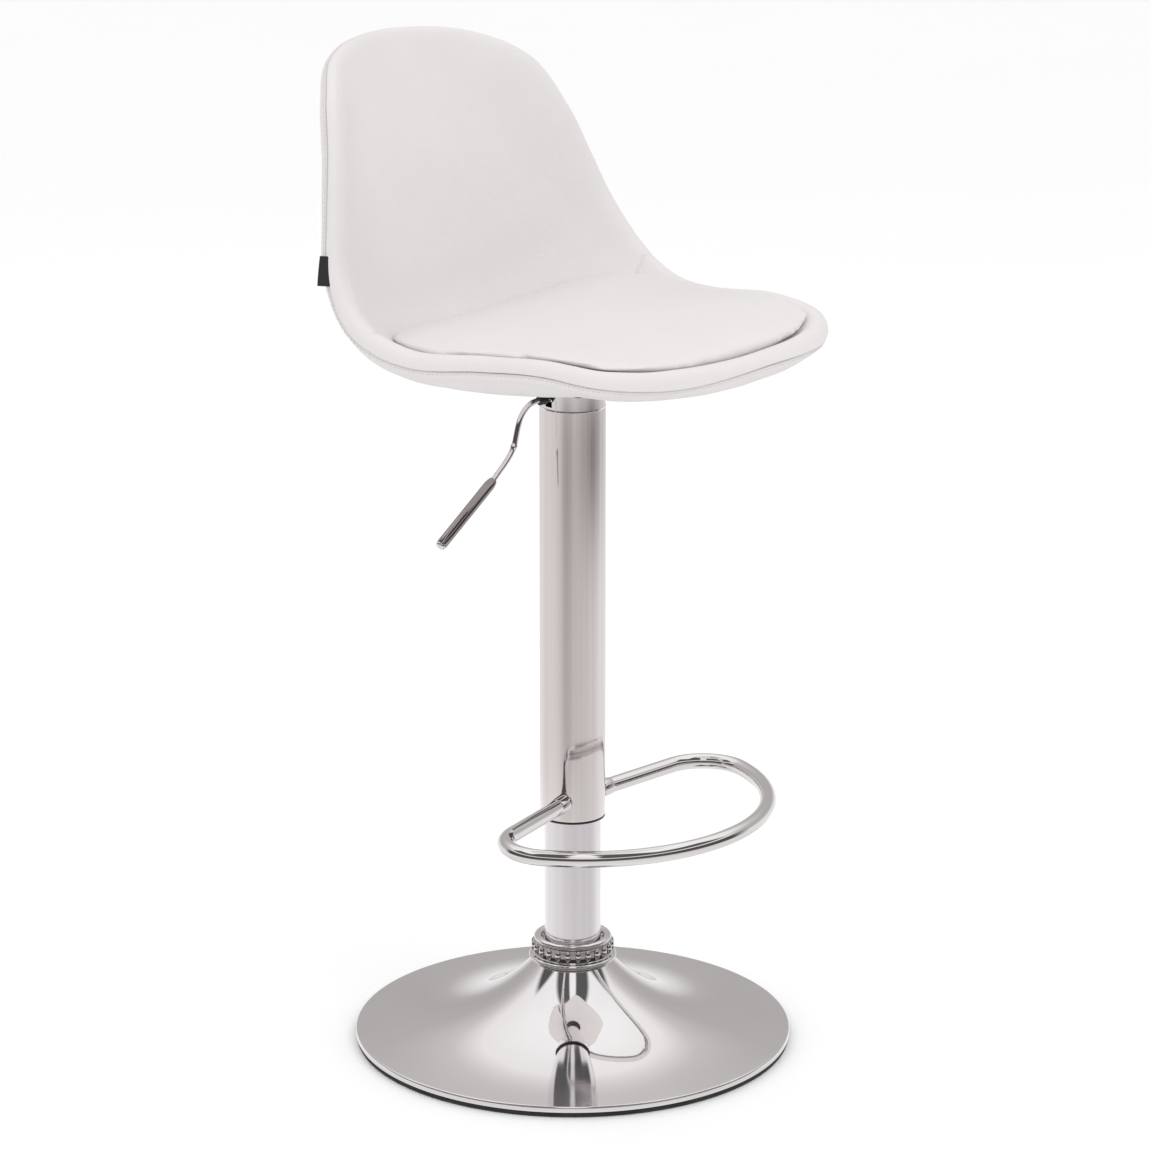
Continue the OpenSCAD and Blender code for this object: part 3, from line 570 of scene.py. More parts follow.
def make_collar():
    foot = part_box("base_collar")[0].z
    outline = [(r, foot + z) for r, z in COLLAR_OUTLINE]
    finish_piece(lathe("foot_collar", rounded(outline, 0.0012)), "chrome", "base", ["base_collar"], sharp=60)
    # A dark chrome ring in the bead band is painted shade, so the gaps between the beads look dark
    shade_ring = [(r, foot + z) for r, z in PAINTED_SHADE_OUTLINE]
    finish_piece(lathe("collar_painted_shade_ring", rounded(shade_ring, 0.0004, 3)), "dark_chrome_and_painted_shade", "base")
    points, faces = [], []
    up = np.array([0, 0, 1.0])
    for turn in around(BEAD_COUNT):
        out = np.array([math.cos(turn), math.sin(turn), 0])
        aside = np.array([-math.sin(turn), math.cos(turn), 0])
        centre = BEAD_CIRCLE * out + (foot + BEAD_HEIGHT) * up
        add_net(points, faces, *ball(centre, out * BEAD[0], aside * BEAD[1], up * BEAD[2], 12, 20))
    finish_piece(mesh_object("collar_beads", points, faces), "chrome", "base", sharp=None)


def ball(centre, x, y, z, rows, sides):
    """Ellipsoid with the half axes x, y and z: its points and faces."""
    points, faces = [centre + z], []
    for a in math.pi * np.arange(1, rows) / rows:
        for b in around(sides):
            points.append(centre + math.cos(a) * z
                          + math.sin(a) * (math.cos(b) * x + math.sin(b) * y))
    points.append(centre - z)
    last = len(points) - 1
    faces += [(0, 1 + j, 1 + (j + 1) % sides) for j in range(sides)]
    faces += tube_faces(rows - 1, sides, first=1)
    faces += [(last, last - 1 - j, last - 1 - (j + 1) % sides) for j in range(sides)]
    return points, faces


# ---- column, tube and footrest ----

TUBE_WALL = 0.00155
COLUMN_WALL = 0.0015
# Rings close to a pipe's ends keep the shading of its long straight faces level
END_RINGS = np.array([0, 0.002, 0.004])
BUSH_BORE = 0.02505
BUSH_FLANGE = 0.002


def pipe(name, node, wall):
    """Smooth copy of a straight CAD tube, with slightly broken edges."""
    low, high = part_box(node)
    r = high.x
    levels = [*(low.z + END_RINGS), *(high.z - END_RINGS)[::-1]]
    outline = [(r, z) for z in levels] + [(r - wall, z) for z in levels[::-1]]
    return lathe(name, rounded(outline, 0.0004, 4), 192)


def make_column():
    finish_piece(pipe("column_pipe", "column_tube", COLUMN_WALL), "column_steel", "base", ["column_tube"])
    finish_piece(pipe("sliding_tube", "outer_tube", TUBE_WALL), "tube_chrome", "lift", ["outer_tube"])
    low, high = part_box("tube_bush")
    outer, inner, step = high.x, high.x - TUBE_WALL, low.z + BUSH_FLANGE
    outline = [(BUSH_BORE, low.z), (outer, low.z), (outer, step), (inner, step), (inner, high.z),
               (BUSH_BORE, high.z)]
    finish_piece(lathe("tube_bush_ring", rounded(outline, 0.0004, 3), 192), "black_plastic", "lift",
                 ["tube_bush"])


ARM_TILT = math.radians(8)
ARM_START = np.array([0.025, -0.010])
ARM_GAP = 0.007
FRONT_CENTRE = np.array([0, -0.012])
FRONT_RADIUS = 0.163
CORNER_RADIUS = 0.040
SOCKET_RADIUS = 0.0083
SOCKET_LENGTH = 0.014
SOCKET_FLARE = 0.0004    # how much wider it is at the tube
SOCKET_TAPER = 0.0008    # how much narrower it is at its mouth
SOCKET_ROUND = 0.0009
ARC_STEPS = 40


def arc(centre, radius, start, end, steps):
    angles = np.radians(np.linspace(start, end, steps))
    return np.stack([centre[0] + radius * np.cos(angles), centre[1] + radius * np.sin(angles)], -1)


def make_footrest():
    low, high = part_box("footrest_hoop")
    bar, level = (high.z - low.z) / 2, (high.z + low.z) / 2
    arm = np.array([math.cos(ARM_TILT), -math.sin(ARM_TILT)])
    base = ARM_START + CORNER_RADIUS * np.array([-math.sin(ARM_TILT), -math.cos(ARM_TILT)])
    to_base = base - FRONT_CENTRE
    along, reach = to_base @ arm, to_base @ to_base - (FRONT_RADIUS - CORNER_RADIUS) ** 2
    arm_length = -along + math.sqrt(along * along - reach)
    corner = base + arm_length * arm
    half = math.degrees(math.atan2(corner[0] - FRONT_CENTRE[0], FRONT_CENTRE[1] - corner[1]))
    straight = [ARM_START + (ARM_GAP + (arm_length - ARM_GAP) * s) * arm
                for s in np.linspace(0, 1, 8)[:-1]]
    bend = arc(corner, CORNER_RADIUS, 90 - math.degrees(ARM_TILT), half - 90, ARC_STEPS)
    front = arc(FRONT_CENTRE, FRONT_RADIUS, half - 90, -90, ARC_STEPS)
    right = np.concatenate([straight, bend, front[1:]])
    left = (right * [-1, 1])[::-1][1:]
    flat = np.concatenate([right, left])
    path = np.concatenate([flat, np.full((len(flat), 1), level)], 1)
    finish_piece(sweep("footrest_bar", path, bar, 40, (0, 0, 1)), "chrome", "lift", ["footrest_hoop"])
    # Each socket's outline, as (radius, distance along the arm): it starts inside the tube's wall
    bore = bar - 0.0006
    outline = rounded([(0, 0.001), (SOCKET_RADIUS + SOCKET_FLARE, 0.001), (SOCKET_RADIUS, 0.006),
                       (SOCKET_RADIUS - SOCKET_TAPER, SOCKET_LENGTH), (bore, SOCKET_LENGTH),
                       (bore, 0.004), (0, 0.004)], SOCKET_ROUND, 4)
    sides = 48
    cos, sin = np.cos(around(sides)), np.sin(around(sides))
    up = np.array([0, 0, 1.0])
    points, faces = [], []
    for side in (1, -1):
        start = np.array([side * ARM_START[0], ARM_START[1], level])
        way = np.array([side * arm[0], arm[1], 0])
        aside = np.cross(way, up)
        rings = [start + way * z + np.outer(cos * r, aside) + np.outer(sin * r, up) for r, z in outline]
        add_net(points, faces, np.concatenate(rings), tube_faces(len(outline), sides, closed=True))
    finish_piece(mesh_object("footrest_sockets_round", points, faces), "chrome", "lift",
                 ["footrest_sockets"], sharp=60)


# ---- release lever ----

LEVER_TURN = math.radians(170)
# The wire's centreline as (distance out from the column axis, height)
LEVER_PATH = [(0.0240, 0.5923), (0.0330, 0.5926), (0.0420, 0.5928), (0.0500, 0.5910),
              (0.0565, 0.5865), (0.0610, 0.5805), (0.0640, 0.5730), (0.0660, 0.5660),
              (0.0680, 0.5590), (0.0710, 0.5530), (0.0770, 0.5460), (0.0850, 0.5387),
              (0.0940, 0.5305)]
WIRE_RADIUS = 0.0025
CRIMP_PLACE = np.array([0.0688, 0.5570])     # where the wire is flattened a little
CRIMP_LENGTH = 0.0016
CRIMP_SWELL = 0.22
GRIP_RADIUS = 0.0045
GRIP_START = np.array([0.092, 0.532])
GRIP_END = np.array([0.152, 0.486])
SLEEVE_START = np.array([0.031, 0.5925])
SLEEVE_END = np.array([0.042, 0.5928])
# Profiles, as (distance along the piece, share of the grip's or the wire's radius)
GRIP_NECK = [(0.0, 0.60), (0.0004, 0.74), (0.0030, 0.93), (0.0060, 1.04), (0.0075, 1.06)]
CAP_PROFILE = [(0.0, 0.90), (0.0003, 0.99), (0.0014, 1.0), (0.0021, 0.93), (0.0027, 0.78),
               (0.0031, 0.5), (0.0032, 0.2)]
SLEEVE_PROFILE = [(0.0, 1.35), (0.0003, 1.72), (0.0026, 1.72), (0.0031, 1.4), (0.0050, 1.4),
                  (0.0055, 1.72), (0.0080, 1.72), (0.0088, 1.45), (0.0090, 1.1)]


def lever_points(plane_points):
    """Points of the lever's own plane, turned to its direction."""
    p = np.asarray(plane_points, float)
    return np.stack([p[:, 0] * math.cos(LEVER_TURN), p[:, 0] * math.sin(LEVER_TURN), p[:, 1]], -1)


def make_lever():
    aside = np.array([-math.sin(LEVER_TURN), math.cos(LEVER_TURN), 0])
    line = smooth_path(LEVER_PATH)
    crimp = np.exp(-(np.linalg.norm(line - CRIMP_PLACE, axis=1) / CRIMP_LENGTH) ** 2)
    wire = sweep("lever_rod", lever_points(line), WIRE_RADIUS * (1 + CRIMP_SWELL * crimp), 24, aside)
    finish_piece(wire, "chrome", "lever", ["lever_wire"])

    def turned(name, start, way, profile, radius, material, node):
        path = lever_points([start + way * s for s, r in profile])
        piece = sweep(name, path, [radius * r for s, r in profile], 32, aside)
        finish_piece(piece, material, "lever", [node])

    way, length = unit(GRIP_END - GRIP_START), np.linalg.norm(GRIP_END - GRIP_START)
    grip = GRIP_NECK + [(s, GRIP_NECK[-1][1]) for s in np.linspace(0.012, length - 0.0008, 8)]
    grip += [(length - 0.0002, 1.0), (length, 0.92)]
    turned("lever_handle", GRIP_START, way, grip, GRIP_RADIUS, "dark_chrome_and_painted_shade", "lever_grip")
    turned("handle_end_cap", GRIP_END, way, CAP_PROFILE, GRIP_RADIUS, "chrome", "grip_cap")
    turned("lever_sleeve", SLEEVE_START, unit(SLEEVE_END - SLEEVE_START), SLEEVE_PROFILE, WIRE_RADIUS,
           "black_plastic", "lever_bush")


# ---- the seat's surface ----

# Edge of the seat from the front centre, round one side, to the top centre, as (half width, y, z)
EDGE = np.array([(0, -0.198, 0.648), (0.092, -0.184, 0.648), (0.148, -0.146, 0.651),
                 (0.161, -0.092, 0.655), (0.164, -0.032, 0.651), (0.184, 0.028, 0.651),
                 (0.195, 0.076, 0.673), (0.188, 0.106, 0.714), (0.173, 0.120, 0.757),
                 (0.155, 0.134, 0.803), (0.130, 0.156, 0.846), (0.078, 0.192, 0.870),
                 (0, 0.213, 0.876)])
# Middle line of the seat at the same stations
MIDDLE = np.array([(0, -0.198, 0.648), (0, -0.190, 0.642), (0, -0.154, 0.634), (0, -0.098, 0.624),
                   (0, -0.036, 0.614), (0, 0.030, 0.611), (0, 0.092, 0.617), (0, 0.138, 0.647),
                   (0, 0.160, 0.700), (0, 0.178, 0.760), (0, 0.195, 0.815), (0, 0.208, 0.858),
                   (0, 0.213, 0.876)])
LAST = len(EDGE) - 1
RIB_POWER = 2.6
ROLL_RADIUS = 0.0105
BACK_SOFTNESS = 0.020    # how much wider the edge is rounded at the back
BACK_STATIONS = (5.0, 8.5)
RIM_SPREAD = np.linspace(-0.14, 0.14, 7)     # turns over which the edge's direction is evened out


def mirrored(points, i):
    """Point i of a list that carries on past both ends as its own mirror image."""
    past = (i < 0) | (i > LAST)
    j = np.where(i < 0, -i, np.where(i > LAST, 2 * LAST - i, i))
    p = points[j].copy()
    p[..., 0] *= np.where(past, -1.0, 1.0)
    return p


def curve_at(points, k):
    i = np.clip(np.floor(k).astype(int), 0, LAST - 1)
    a, b, c, d = (mirrored(points, i + n) for n in (-1, 0, 1, 2))
    return catmull(a, b, c, d, (k - i)[..., None])


def seat_point(k, t):
    """Point of the seat's middle surface at station k, t from -1 to 1 across it."""
    e, m = curve_at(EDGE, k), curve_at(MIDDLE, k)
    b = np.abs(t) ** RIB_POWER
    return np.stack([e[..., 0] * t, m[..., 1] + (e[..., 1] - m[..., 1]) * b,
                     m[..., 2] + (e[..., 2] - m[..., 2]) * b], -1)


def disc_point(a, b):
    """The same surface over a round disc: a from -1 (front) to 1 (top of the back), b across."""
    a = np.clip(a, -1, 1)
    half = np.sqrt(np.maximum(1 - a * a, 1e-9))
    return seat_point(np.arccos(-a) * LAST / math.pi, np.clip(b / half, -1, 1))


def disc_centre(k):
    """Place of a station of the seat's middle line on the disc."""
    return np.array([-math.cos(math.pi * k / LAST), 0.0])


def disc_rim(turn):
    return -np.cos(turn), np.sin(turn)


def disc_normal(a, b):
    """Unit normal towards the sitter; on the rim it is taken just inside."""
    h = 6e-4
    a, b = a * (1 - 2 * h), b * (1 - 2 * h)
    along = disc_point(a + h, b) - disc_point(a - h, b)
    across = disc_point(a, b + h) - disc_point(a, b - h)
    return unit(np.cross(across, along))


def rim_frame(turn):
    """Point, normal and outward direction of the seat's edge at each turn (0 is the front)."""
    h = 1e-3
    p = disc_point(*disc_rim(turn))
    along = unit(disc_point(*disc_rim(turn + h)) - disc_point(*disc_rim(turn - h)))
    n = sum(disc_normal(*disc_rim(turn + d)) for d in RIM_SPREAD)
    n = unit(n - np.sum(n * along, -1, keepdims=True) * along)
    return p, n, np.cross(along, n)


def station(turn):
    """Station of the edge, 0 at the front to LAST at the top, on either side."""
    turn = turn % (2 * math.pi)
    return LAST / math.pi * np.minimum(turn, 2 * math.pi - turn)


def ease(value, start=0.0, end=1.0):
    """Smooth step from 0 at start to 1 at end."""
    share = np.clip((value - start) / (end - start), 0, 1)
    return share * share * (3 - 2 * share)


def soft_width(turn):
    """How wide the edge is rounded towards the sitter: a tight roll in front, soft round the back."""
    return ROLL_RADIUS + BACK_SOFTNESS * ease(station(turn), *BACK_STATIONS)


def roll_point(turn, angle, radius):
    """Point on the padded edge: angle 0 faces the sitter, 90 degrees points outward."""
    p, n, out = rim_frame(turn)
    wide = soft_width(turn)
    start = np.arcsin((wide - ROLL_RADIUS) / wide)
    a = np.radians(angle) + 0 * turn
    front = a < math.pi / 2
    a = np.where(front, start + (math.pi / 2 - start) * a / (math.pi / 2), a)
    extra = radius - ROLL_RADIUS
    reach = np.where(front, ROLL_RADIUS - wide + wide * np.sin(a), ROLL_RADIUS * np.sin(a))
    reach = reach + extra * np.sin(a)
    return p + reach[:, None] * out + ((ROLL_RADIUS + extra) * np.cos(a))[:, None] * n


# ---- covers and seam ----

FRONT_OFFSET = 0.011     # from the seat's middle surface to the inner cover
REAR_OFFSET = 0.009      # the same to the outer cover
COVER_SHEET = 0.0025
# Where the seam runs round the padded edge: well under it at the front, behind it at the back
SEAM_STATIONS = [0, 1, 1.6, 2.1, 3, 4, 5, 5.5, 6, 6.5, 7, 8, 12]
SEAM_ANGLES = [168, 164, 136, 120, 122, 129, 137, 145, 147, 137, 126, 121, 121]
SEAM_BLEND = np.linspace(-0.45, 0.45, 7)
SEAM_HALF = 4.5          # half the seam's width, in degrees of the roll
SEAM_DEPTH = 0.0024
SEAM_POWER = 0.6         # below 1 makes the seam's groove steeper at its sides
DART_STATION = 5.75      # where the short dart seam meets the edge, on both sides
DART_TURN = DART_STATION / LAST * math.pi
DART_ARM = 0.17          # about the distance there from the disc's centre line to the edge
DART_SHARES = (0.84, 0.93)
DART_FADE = 100          # degrees of the roll over which a dart fades out
DART_WIDTH = 0.0011
DART_DEPTH = 0.0010
DART_REACH = 0.012       # turn on either side of a dart that has closer rings
DART_STEPS = np.array([0.08, 0.16, 0.26, 0.38, 0.55, 0.75, 1.0])
PUCKER_WIDTH = 0.006
PUCKER_DEPTH = 0.0008
RIM_STEPS = 264
ROLL_STEPS = 20
COVER_RINGS = 56
COVER_SPREAD = 0.9       # below 1 puts the rings of the covers closer together near the edge
NEAR_EDGE = 0.8          # share of the way out from which a cover turns into the edge
FRONT_MIDDLE = 4.3       # stations from which the rings of the two covers spread out
REAR_MIDDLE = 4.55
FRONT_RIPPLE = 0.0004
REAR_RIPPLE = 0.0005


def rim_turns():
    """Turns round the edge: even, with extra ones close to each dart."""
    fine = DART_REACH * np.concatenate([-DART_STEPS[::-1], [0], DART_STEPS])
    extra = np.concatenate([DART_TURN + fine, 2 * math.pi - DART_TURN + fine])
    keep = [t for t in around(RIM_STEPS) if np.min(np.abs(extra - t)) > DART_REACH / 2]
    return np.sort(np.concatenate([keep, extra]))


def seam_angle(turn):
    k = station(turn)
    return sum(np.interp(np.abs(k + d), SEAM_STATIONS, SEAM_ANGLES) for d in SEAM_BLEND) / len(SEAM_BLEND)


def ripple(p, seed):
    """Soft uneven stuffing: a few crossing waves, between -1 and 1."""
    x, y, z = p[..., 0], p[..., 1], p[..., 2]
    return (np.sin(61 * x + 23 * z + seed) * np.sin(47 * y - 31 * z + 2 * seed)
            + 0.5 * np.sin(113 * x - 71 * y + 3 * seed) * np.sin(97 * z + 53 * y)) / 1.5


def dart_push(turn, share):
    """How far the cover is pulled in by the darts; share is 0 at the seat's middle, 1 at its edge."""
    distance = DART_ARM * np.minimum(np.abs(turn - DART_TURN), np.abs(turn - (2 * math.pi - DART_TURN)))
    fold = DART_DEPTH * np.exp(-(distance / DART_WIDTH) ** 2)
    pucker = PUCKER_DEPTH * np.exp(-(distance / PUCKER_WIDTH) ** 2)
    return ease(share, *DART_SHARES) * (fold + pucker)


def on_spokes(centre, rim, share):
    """Point and normal of the seat's surface at a share of the way from a centre to the rim."""
    a, b = (centre + np.reshape(share, (-1, 1)) * (rim - centre)).T
    return disc_point(a, b), disc_normal(a, b)


def thicken(piece):
    solid = piece.modifiers.new("thickness", "SOLIDIFY")
    solid.thickness, solid.offset = COVER_SHEET, -1


def make_front_cover():
    """Padded inner cover in one piece with the soft edge, down to the seam on its outer face."""
    turn = rim_turns()
    centre, rim = disc_centre(FRONT_MIDDLE), np.stack(disc_rim(turn), -1)
    rim_p, rim_n, rim_out = rim_frame(turn)
    wide = soft_width(turn)
    rows = []
    for share in (np.arange(1, COVER_RINGS + 1) / COVER_RINGS) ** COVER_SPREAD:
        s, n = on_spokes(centre, rim, share)
        near_edge = ease(share, NEAR_EDGE)
        n = unit(n + (rim_n - n) * near_edge)
        inside = np.maximum(np.sum((rim_p - s) * rim_out, -1), 0)
        drop = np.clip((wide - ROLL_RADIUS - inside) / wide, 0, 1)
        drop = ROLL_RADIUS * (1 - np.sqrt(1 - drop * drop))
        lift = FRONT_OFFSET + (ROLL_RADIUS - FRONT_OFFSET) * near_edge + FRONT_RIPPLE * ripple(s, 1.0)
        lift = lift - drop - dart_push(turn, share)
        rows.append(s + lift[:, None] * n)
    seam = seam_angle(turn)
    for share in np.concatenate([np.linspace(0, 1, ROLL_STEPS)[1:], [1.4, 2.0]]):
        past = max(share - 1.0, 0.0)
        angle = (seam - SEAM_HALF) * min(share, 1.0) + SEAM_HALF * past
        dart = dart_push(turn, 1.0) * np.clip(1 - angle / DART_FADE, 0, 1)
        radius = ROLL_RADIUS + FRONT_RIPPLE * ripple(rows[-1], 1.0) - SEAM_DEPTH * past ** SEAM_POWER - dart
        rows.append(roll_point(turn, angle, radius))
    middle, n = on_spokes(centre, rim[:1], 0.0)
    points = np.concatenate([middle + FRONT_OFFSET * n, *rows])
    sides = len(turn)
    faces = [(0, 1 + j, 1 + (j + 1) % sides) for j in range(sides)]
    faces += tube_faces(len(rows), sides, first=1)
    cover = mesh_object("seat_front_cover", points, faces)
    finish_piece(cover, "faux_leather", "lift", ["front_cover", "edge_roll"], sharp=None)
    thicken(cover)


HUB_HOLE = 0.0455
REAR_RINGS = 46
TUCK_LEVEL = 0.6026      # height of the rear cover where it is pulled in round the seat plate
TUCK_SHARE = 0.14        # share of the way out over which it is pulled in
BULGE = 0.0022           # how far it swells out beside the seam
BULGE_SHARE = 0.35       # shares of the way in over which it swells, and then keeps its offset
OFFSET_SHARE = 0.25


def make_rear_cover():
    """Padded outer cover, from the seam to the hole round the seat plate."""
    turn = around(RIM_STEPS)
    centre, rim = disc_centre(REAR_MIDDLE), np.stack(disc_rim(turn), -1)
    # Share of the way from the centre to the rim at which each spoke leaves the hub's hole
    trial = np.linspace(0.02, 0.6, 160)
    spokes = centre + trial[:, None, None] * (rim - centre)
    lower = disc_point(spokes[..., 0], spokes[..., 1])
    span = np.hypot(lower[..., 0], lower[..., 1])
    hole = np.array([np.interp(HUB_HOLE, column, trial) for column in span.T])
    rows = []
    seam = seam_angle(turn)
    rim_n = rim_frame(turn)[1]
    for share in np.concatenate([[-1.0, -0.6], np.linspace(0, 1, 9)]):
        angle = seam + SEAM_HALF * (1 + min(share, 0.0))
        angle = angle + (180 - angle) * max(share, 0.0)
        rows.append(roll_point(turn, angle, ROLL_RADIUS - SEAM_DEPTH * max(-share, 0.0) ** SEAM_POWER))
    for step in np.linspace(1, 0, REAR_RINGS)[1:]:
        s, n = on_spokes(centre, rim, hole + (1 - hole) * step ** COVER_SPREAD)
        n = unit(n + (rim_n - n) * ease(step, NEAR_EDGE))
        inward = 1 - step
        bulge = BULGE * math.sin(math.pi * min(inward / BULGE_SHARE, 1.0)) ** 2
        drop = ROLL_RADIUS + (REAR_OFFSET - ROLL_RADIUS) * min(inward / OFFSET_SHARE, 1.0) + bulge
        q = s - (drop + REAR_RIPPLE * ripple(s, 3.0))[:, None] * n
        q[:, 2] += (TUCK_LEVEL - q[:, 2]) * ease(1 - step / TUCK_SHARE)
        rows.append(q)
    cover = mesh_object("seat_rear_cover", np.concatenate(rows), tube_faces(len(rows), len(turn)))
    finish_piece(cover, "faux_leather", "lift", ["rear_cover"], sharp=None)
    thicken(cover)


STITCH_PITCH = 0.0042
STITCH_LENGTH = 0.0027
STITCH_RADIUS = 0.00032
STITCH_STEP = 11         # degrees of the roll between the seam and its stitches


def make_stitches():
    """Short thread stitches beside the seam, all the way round."""
    fine = np.linspace(0, 2 * math.pi, 4001)
    line = roll_point(fine, seam_angle(fine) + STITCH_STEP, ROLL_RADIUS)
    run = np.concatenate([[0], np.cumsum(np.linalg.norm(np.diff(line, axis=0), axis=1))])
    count = int(run[-1] / STITCH_PITCH)
    points, faces = [], []
    for middle in run[-1] * np.arange(count) / count:
        turn = np.interp([middle - STITCH_LENGTH / 2, middle, middle + STITCH_LENGTH / 2], run, fine)
        a, c, b = roll_point(turn, seam_angle(turn) + STITCH_STEP, ROLL_RADIUS + STITCH_RADIUS * 0.4)
        way = (b - a) / 2
        proud = unit(c - rim_frame(turn[1:2])[0][0])
        aside = np.cross(unit(way), proud)
        add_net(points, faces, *ball(c, proud * STITCH_RADIUS, aside * STITCH_RADIUS, way, 6, 6))
    finish_piece(mesh_object("seam_stitches", points, faces), "thread", "lift", sharp=None)


# ---- cushion ----

CUSHION_MID = 3.58       # station of its middle
CUSHION_HALF = 3.08      # stations from there to its front and to its back
CUSHION_REACH = 0.99     # share of the seat's half width
CUSHION_SQUARE = 5.0     # how square its front corners are
CUSHION_ROUND = 3.1      # the same for the corners at the back
CUSHION_LIFT = 0.0116    # height of its underside over the seat's middle surface
CUSHION_CROWN = 0.6690
CUSHION_EDGE = 0.0030
CROWN_POWER = 2.8
PAD_RINGS = 26
PAD_SIDES = 160
VOXEL = 0.0045
SEWN_WITHIN = 0.0022     # what lies this close to the underside is sewn down
PRESSURE = 4.0
STIFFNESS = 18
BENDING = 1.2
CLOTH_FRAMES = 20
SWELL_CAP = 0.0065


def cushion_place(e, a):
    """Station and rib position of the cushion at share e from its middle, in direction a."""
    c, s = np.cos(a), np.sin(a)
    power = CUSHION_SQUARE + (CUSHION_ROUND - CUSHION_SQUARE) * ease(s, 0.0, 0.5)
    g = (np.abs(c) ** power + np.abs(s) ** power) ** (-1 / power)
    return CUSHION_MID + CUSHION_HALF * e * g * s, CUSHION_REACH * e * g * c


def on_cover(e, a):
    """Point of the cushion's underside, at share e from its middle in direction a."""
    k, t = cushion_place(e, a)
    a = -np.cos(math.pi * k / LAST)
    b = t * np.sin(math.pi * k / LAST)
    return disc_point(a, b) + CUSHION_LIFT * disc_normal(a, b)


def cushion_shape(rings, sides):
    """Closed crowned pad that lies on the cover: its points, its faces and those of its underside."""
    a = around(sides)
    rim_z = on_cover(1.0, a)[:, 2] + CUSHION_EDGE
    over, under = [], []
    for e in np.arange(rings, 0, -1) / rings:
        low = on_cover(e, a)
        top = low.copy()
        top[:, 2] = CUSHION_CROWN + (rim_z - CUSHION_CROWN) * e ** CROWN_POWER
        over.append(top)
        under.append(low)
    centre = on_cover(np.zeros(1), np.zeros(1))[0]
    crown = np.array([centre[0], centre[1], CUSHION_CROWN])
    rows = under[::-1] + over
    points = np.concatenate([*rows, [centre], [crown]])
    net = tube_faces(len(rows), sides)
    last, first = len(rows) * sides, (len(rows) - 1) * sides
    bottom = [(last, (j + 1) % sides, j) for j in range(sides)]
    lid = [(last + 1, first + j, first + (j + 1) % sides) for j in range(sides)]
    return points, net + bottom + lid, net[:rings * sides] + bottom


def evaluated_copy(piece):
    """Mesh of a piece with its modifiers applied."""
    shown = piece.evaluated_get(bpy.context.evaluated_depsgraph_get())
    return bpy.data.meshes.new_from_object(shown)


def apply_modifiers(piece):
    mesh = evaluated_copy(piece)
    piece.modifiers.clear()
    piece.data = mesh


def mesh_points(mesh):
    co = np.zeros(len(mesh.vertices) * 3)
    mesh.vertices.foreach_get("co", co)
    return co.reshape(-1, 3)


def inflate(piece, held):
    """Swells a closed pad with the cloth solver; held says which points stay sewn down."""
    cloth = piece.modifiers.new("cloth", "CLOTH")
    rest = mesh_points(piece.data)
    group = piece.vertex_groups.new(name="sewn")
    group.add([int(i) for i in np.flatnonzero(held)], 1.0, "REPLACE")
    settings = cloth.settings
    settings.vertex_group_mass = "sewn"
    settings.use_pressure = True
    settings.uniform_pressure_force = PRESSURE
    settings.quality = 6
    settings.tension_stiffness = settings.compression_stiffness = STIFFNESS
    settings.bending_stiffness = BENDING
    settings.effector_weights.gravity = 0
    cloth.collision_settings.use_collision = False
    cloth.point_cache.frame_start, cloth.point_cache.frame_end = 1, CLOTH_FRAMES
    for step in range(1, CLOTH_FRAMES + 1):
        SCENE.frame_set(step)
    mesh = evaluated_copy(piece)
    moved = mesh_points(mesh) - rest
    far = np.linalg.norm(moved, axis=1, keepdims=True)
    moved *= np.minimum(1.0, SWELL_CAP / np.maximum(far, 1e-9))
    piece.modifiers.clear()
    piece.vertex_groups.clear()
    piece.data = mesh
    mesh.vertices.foreach_set("co", (rest + moved).ravel())
    mesh.update()
    SCENE.frame_set(1)


def make_cushion():
    points, faces, underside = cushion_shape(PAD_RINGS, PAD_SIDES)
    pad = mesh_object("seat_pad", points, faces)
    remesh = pad.modifiers.new("remesh", "REMESH")
    remesh.mode, remesh.voxel_size = "VOXEL", VOXEL
    apply_modifiers(pad)
    bed = BVHTree.FromPolygons([Vector(p) for p in points], underside)
    away = np.array([bed.find_nearest(Vector(p))[3] for p in mesh_points(pad.data)])
    inflate(pad, away < SEWN_WITHIN)
    smooth = pad.modifiers.new("smooth", "CORRECTIVE_SMOOTH")
    smooth.iterations, smooth.use_only_smooth = 4, True
    finer = pad.modifiers.new("finer", "SUBSURF")
    finer.levels = finer.render_levels = 1
    apply_modifiers(pad)
    finish_piece(pad, "faux_leather", "lift", ["seat_cushion"], sharp=None)


# ---- side tag ----

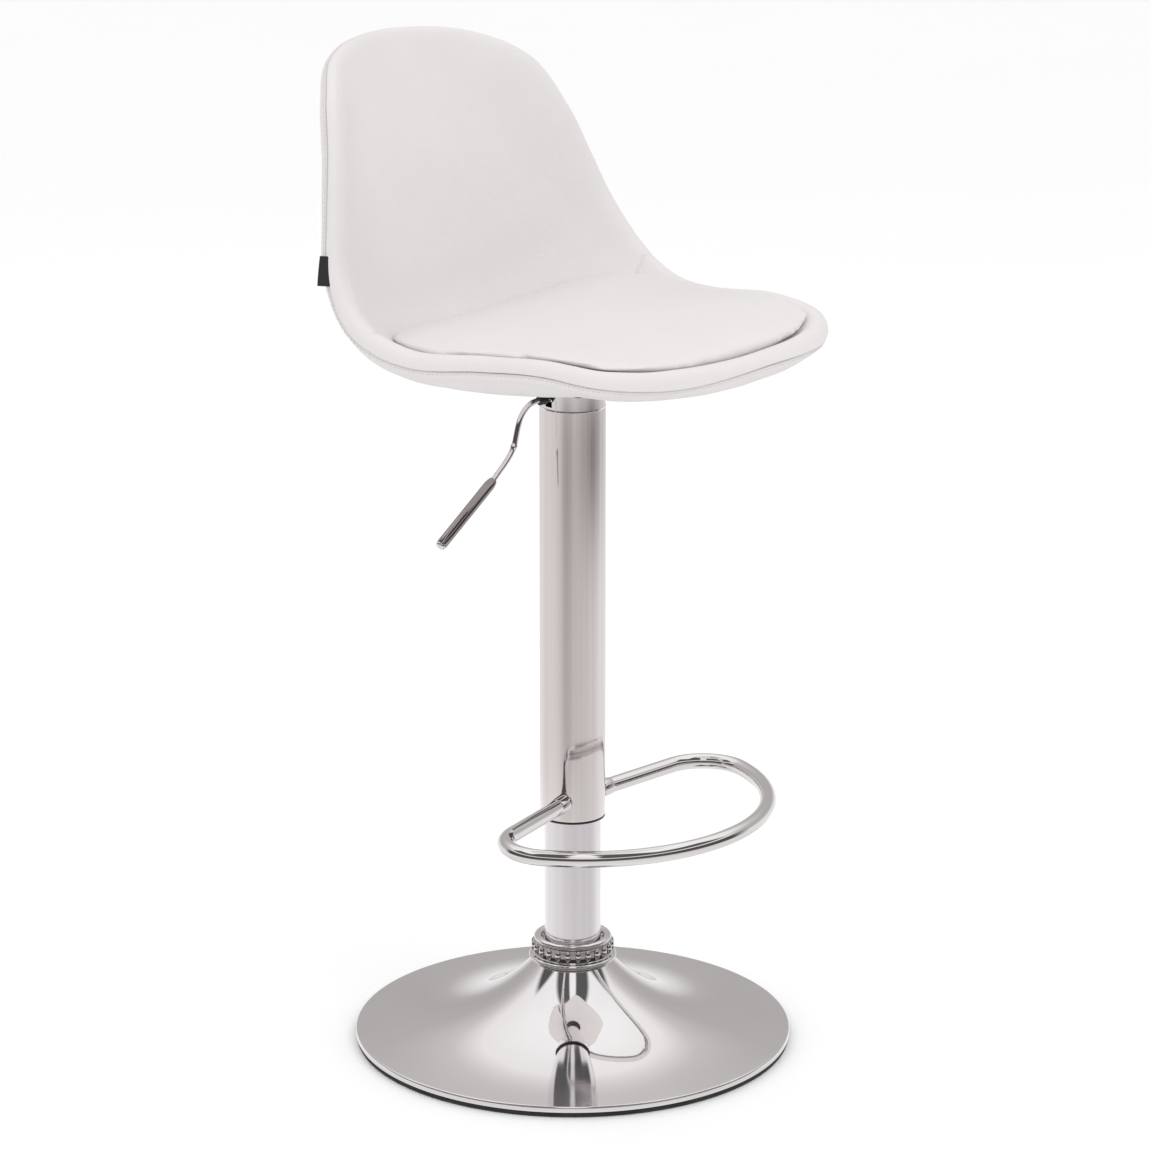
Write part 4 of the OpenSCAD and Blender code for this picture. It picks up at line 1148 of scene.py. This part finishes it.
TAPE = 0.0004
TAG_GAP = 0.00035        # between the tape's two leaves
TAG_WIDTH = 0.013
TAG_LENGTH = 0.0255
TAG_FOLD = 0.001
TAG_CURL = 0.0010
TAG_LEAN = 0.0055        # the sewn side leans with the seam, so that the top end is narrower


def make_tag():
    """Small folded tape sewn into the seam: two leaves with a round fold, slightly curled."""
    half, straight = TAG_GAP / 2 + TAPE, TAG_LENGTH - TAG_FOLD
    fold = [(straight + TAG_FOLD * math.sin(a), half * -math.cos(a)) for a in np.linspace(0, math.pi, 9)]
    outer = [(s, -half) for s in np.linspace(0, straight, 10)][:-1]
    outline = outer + fold + [(s, -d) for s, d in outer[::-1]]
    centre, long_way, wide_way, thick_way = node_axes("side_tag")
    points = []
    # Across the tape, as (share of its width, share of its thickness), with thinner borders
    for side, thin in ((-0.5, 0.75), (-0.44, 1.0), (0.44, 1.0), (0.5, 0.75)):
        for s, d in outline:
            curl = TAG_CURL * math.sin(3 * s / TAG_LENGTH) * (0.4 + side)
            lean = max(-side, 0.0) * 2 * TAG_LEAN * s / TAG_LENGTH
            points.append(centre + long_way * (s - TAG_LENGTH / 2) + wide_way * (side * TAG_WIDTH + lean)
                          + thick_way * (d * thin + curl))
    count = len(outline)
    faces = tube_faces(4, count)
    faces += [tuple(range(count - 1, -1, -1)), tuple(range(3 * count, 4 * count))]
    finish_piece(mesh_object("side_label", points, faces), "black_fabric", "lift",
                 ["side_tag"], sharp=60)


def node_axes(node):
    """Centre of a box-shaped CAD node and its long, wide and thin directions."""
    p = mesh_points(NODES[node].data)
    p = np.unique(p.round(7), axis=0)
    centre = p.mean(0)
    wide, long = np.linalg.eigh(np.cov((p - centre).T))[1].T[1:]
    if wide[0] > 0:
        wide = -wide
    if long[2] < 0:
        long = -long
    return centre, long, wide, np.cross(long, wide)


# ---- everything ----

make_camera()
make_world()
make_dome()
make_lights()
make_floor()
dress_nodes()
make_base()
make_collar()
make_column()
make_footrest()
make_lever()
make_front_cover()
make_rear_cover()
make_stitches()
make_cushion()
make_tag()

SCENE.view_settings.view_transform = "Standard"
